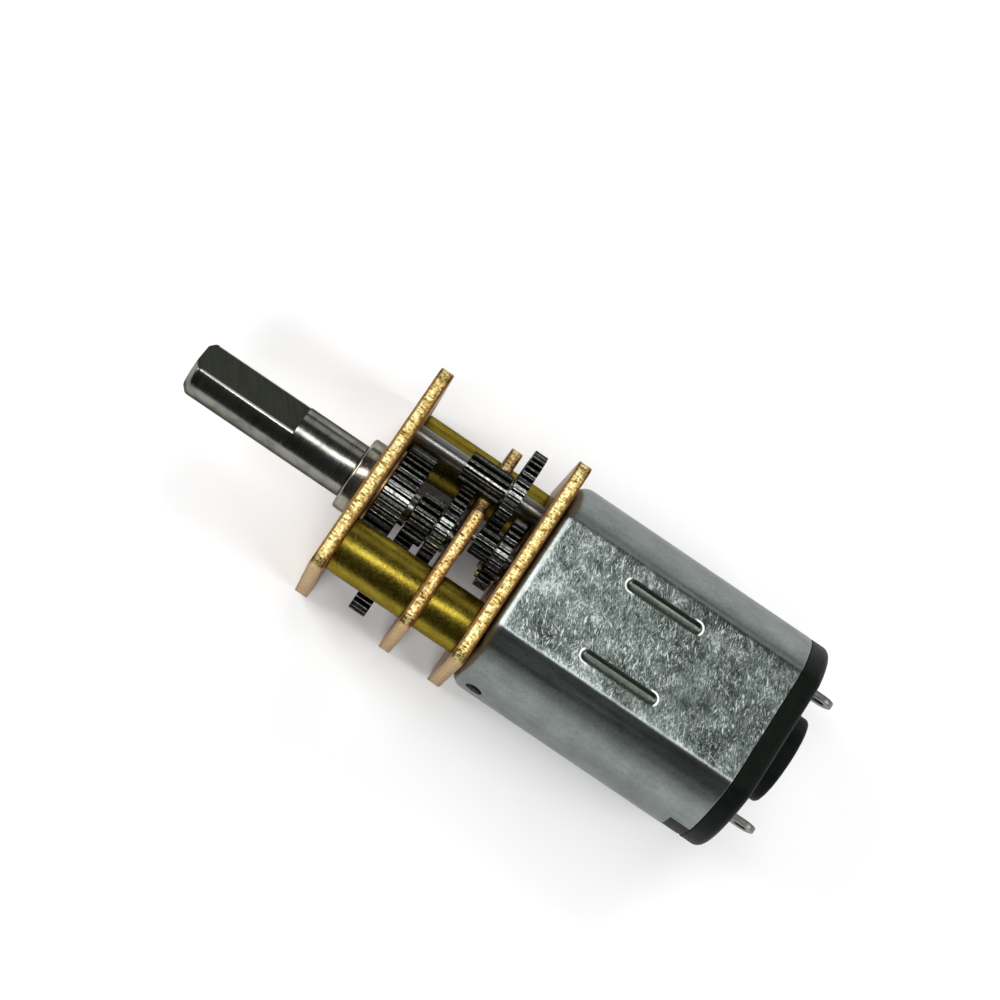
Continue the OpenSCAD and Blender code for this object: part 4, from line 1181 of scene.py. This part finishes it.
# ---------------------------------------------------------------- end cap
def build_cap():
    ang = can_angles()[::1]
    n = len(ang)
    verts, rings = [], []

    def ring(x, d, fixed=None):
        r_ = []
        for a in ang:
            r = fixed if fixed is not None else can_r(a, d, 22.0)
            r_.append(len(verts))
            verts.append((x, r * cos(a), r * sin(a)))
        rings.append(r_)

    e = 0.42
    ring(C_END - 0.005, 0.7)
    ring(C_END - 0.005, 0.05)
    ring(C_END - 0.05, 0.005)
    for j in range(8):
        t = pi / 2 * j / 7
        ring(CAP_END + e - e * sin(t), e * (1 - cos(t)) + 0.005)
    ring(CAP_END, 1.0)
    ring(CAP_END, 1.15)
    ring(CAP_END + 0.08, 1.22)
    ring(CAP_END + 0.08, 0, 3.0)
    ring(CAP_END + 0.08, 0, 2.62)
    ring(CAP_END + 0.02, 0, 2.50)
    hr = 2.475
    ring(CAP_END - 0.06, 0, hr)
    ring(HUB_END + 0.22, 0, hr)
    ring(HUB_END + 0.12, 0, hr - 0.03)
    ring(HUB_END + 0.04, 0, hr - 0.11)
    ring(HUB_END, 0, hr - 0.22)
    ring(HUB_END, 0, 1.80)
    ring(HUB_END + 0.04, 0, 1.74)
    ring(HUB_END + 0.25, 0, 1.60)
    ring(HUB_END + 0.25, 0, 0.80)
    ring(HUB_END + 0.30, 0, 0.75)
    ring(HUB_END + 0.55, 0, 0.75)
    ring(HUB_END + 0.55, 0, 1.4)
    ring(C_END - 0.005, 0, 1.4)
    faces = []
    chain = rings + [rings[0]]
    for a, b in zip(chain, chain[1:]):
        for i in range(n):
            j = (i + 1) % n
            faces.append((a[i], a[j], b[j], b[i]))
    o = raw("end_cap_moulded", verts, faces)
    for s in (-1, 1):
        boolean(o, raw("slot", *block(CAP_END - 0.5, C_END + 0.5, s * 3.8 - 0.17, s * 3.8 + 0.17, -0.78, 0.78)))
        boolean(o, raw("window", *block(CAP_END - 0.5, CAP_END + 0.35, -1.1, 1.1, s * 3.55 - 0.3, s * 3.55 + 0.3)))
    parts = [([tuple(q / MM for q in t.co) for t in o.data.vertices], [tuple(t.vertices) for t in o.data.polygons])]
    bpy.data.objects.remove(o)
    # keys in the can's notches
    for s in (-1, 1):
        v, f = [], []
        for x in (C_END + 1.16, C_END + 0.02):
            for i in range(9):
                z = -1.46 + 2.92 * i / 8
                v.append((x, s * sqrt(5.95 ** 2 - z * z), z))
            for i in range(9):
                z = 1.46 - 2.92 * i / 8
                v.append((x, s * sqrt(5.0 ** 2 - z * z), z))
        m = 18
        f = [tuple(range(m)), tuple(range(2 * m - 1, m - 1, -1))] + [(i, m + i, m + (i + 1) % m, (i + 1) % m) for i in range(m)]
        parts.append((v, f))
    o = add("end_cap_moulded", *join_meshes(parts), "housing", ["end_cap"], "cap_plastic", M_CAP, 36)
    return o


build_cap()


# ---------------------------------------------------------------- terminals
def terminal(y):
    """a flat tab in the XZ plane with a rounded end and an oblong eye, its edges broken"""
    tip = CAP_END - 1.8
    out = []
    for i in range(17):
        a = pi / 2 + pi * i / 16
        out.append((tip + 0.75 + 0.75 * cos(a), 0.75 * sin(a)))
    out += [(CAP_END + 0.9, -0.75), (CAP_END + 0.9, 0.75)]
    eye = []
    for i in range(13):
        a = pi / 2 + pi * i / 12
        eye.append((tip + 0.72 + 0.3 * cos(a), 0.3 * sin(a)))
    for i in range(13):
        a = -pi / 2 + pi * i / 12
        eye.append((tip + 1.0 + 0.3 * cos(a), 0.3 * sin(a)))
    v, f = slab(0.15, -0.15, ccw(out), [(None, ccw(eye), 0.03)], 0.03, 0.03, 3)
    # slab makes its plate in YZ and grows along X: turn it so that it grows along Y
    return [(b, y + a, c) for a, b, c in v], f


add("terminals_tabs", *join_meshes([terminal(-3.8), terminal(3.8)]), "housing", ["terminals"], "terminal_tin", M_TIN)

# ---------------------------------------------------------------- bearings and the rotor
prof = fillet([(X_R1 + 0.35, 0.525), (X_R1 + 0.35, 1.5), (X_R1 - 1.3, 1.5), (X_R1 - 1.3, 0.525)], [0.08, 0.06, 0.06, 0.03], 3)
add("front_bearing_sleeve", *lathe(prof, C0, 72), "housing", ["front_bearing"], "bearing_bronze", M_BRONZE)
prof = fillet([(HUB_END + 0.55, 0.525), (HUB_END + 0.55, 1.38), (HUB_END + 2.0, 1.38), (HUB_END + 2.0, 0.525)], [0.08, 0.06, 0.06, 0.03], 3)
add("rear_bearing_sleeve", *lathe(prof, C0, 72), "housing", ["rear_bearing"], "bearing_bronze", M_BRONZE)
add("motor_shaft_ground", *pin(-7.0, HUB_END + 0.65, 0.5, C0), "rotor", ["motor_shaft"], "pin_steel", M_PIN)
for node, m in (("armature_core", M_CORE), ("armature_windings", M_WIND), ("commutator", M_COM), ("brushes", M_BRONZE), ("magnets", M_FERR)):
    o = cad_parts[node]
    o.data.materials.clear()
    o.data.materials.append(m)
    bv = o.modifiers.new("edge", "BEVEL")
    bv.width = 0.02 * MM
    bv.segments = 2
    bv.limit_method = "ANGLE"
    bv.angle_limit = radians(40)

# ---------------------------------------------------------------- floor and light
def build_floor():
    me = bpy.data.meshes.new("floor")
    s = 1.5
    me.from_pydata([(-s, -s, -0.00503), (s, -s, -0.00503), (s, s, -0.00503), (-s, s, -0.00503)], [], [(0, 1, 2, 3)])
    o = bpy.data.objects.new("floor", me)
    scene.collection.objects.link(o)
    k = Mat("floor_paper", 0.0, 0.9, (0.86, 0.86, 0.86), spec=0.1)
    g = k.noise(k.pos(), 0.05, 3, 0.5)
    k.color(k.mix(g, (0.85, 0.85, 0.85), (0.88, 0.88, 0.88)))
    me.materials.append(k.m)
    o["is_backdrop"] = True
    return o


FLOOR = build_floor()


def area(name, loc, target, size, energy, size_y=None, color=(1, 1, 1)):
    d = bpy.data.lights.new(name, "AREA")
    d.shape = "RECTANGLE"
    d.size = size
    d.size_y = size_y or size
    d.energy = energy
    d.color = color
    o = bpy.data.objects.new(name, d)
    scene.collection.objects.link(o)
    o.location = loc
    o.rotation_euler = (Vector(target) - Vector(loc)).to_track_quat("-Z", "Y").to_euler()
    return o


CEN = (-0.0075, 0, 0)
key = area("key", (-0.0075 + 0.02, -0.032, 0.55), CEN, 0.30, 0.98, 0.12)
area("end_left", (0.55, -0.05, 0.38), CEN, 0.40, 3.4)
area("end_right", (-0.60, 0.05, 0.42), CEN, 0.40, 3.4)
area("far_side", (-0.02, -0.62, 0.30), CEN, 0.80, 0.6, 0.30)
wash_near = area("wash_near", (-0.0075, 0.60, 0.40), CEN, 0.50, 3.7)
wash_far = area("wash_far", (-0.0075, -0.60, 0.40), CEN, 0.50, 3.7)


def link_light(light, state):
    """let a lamp light only the floor, or everything but the floor"""
    c = bpy.data.collections.new(light.name + "_link")
    c.objects.link(FLOOR)
    light.light_linking.receiver_collection = c
    c.collection_objects[0].light_linking.link_state = state


link_light(wash_near, "INCLUDE")
link_light(wash_far, "INCLUDE")
link_light(key, "EXCLUDE")

world = bpy.data.worlds.new("world")
scene.world = world
world.use_nodes = True
bg = world.node_tree.nodes["Background"]
bg.inputs[0].default_value = (0.92, 0.95, 1.0, 1)
bg.inputs[1].default_value = 0.05

scene.view_settings.view_transform = "Standard"
scene.view_settings.look = "None"
scene.view_settings.exposure = 0.0

VIS_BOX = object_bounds()
{"cad": as_lists(CAD_BOX), "visual": as_lists(VIS_BOX)}
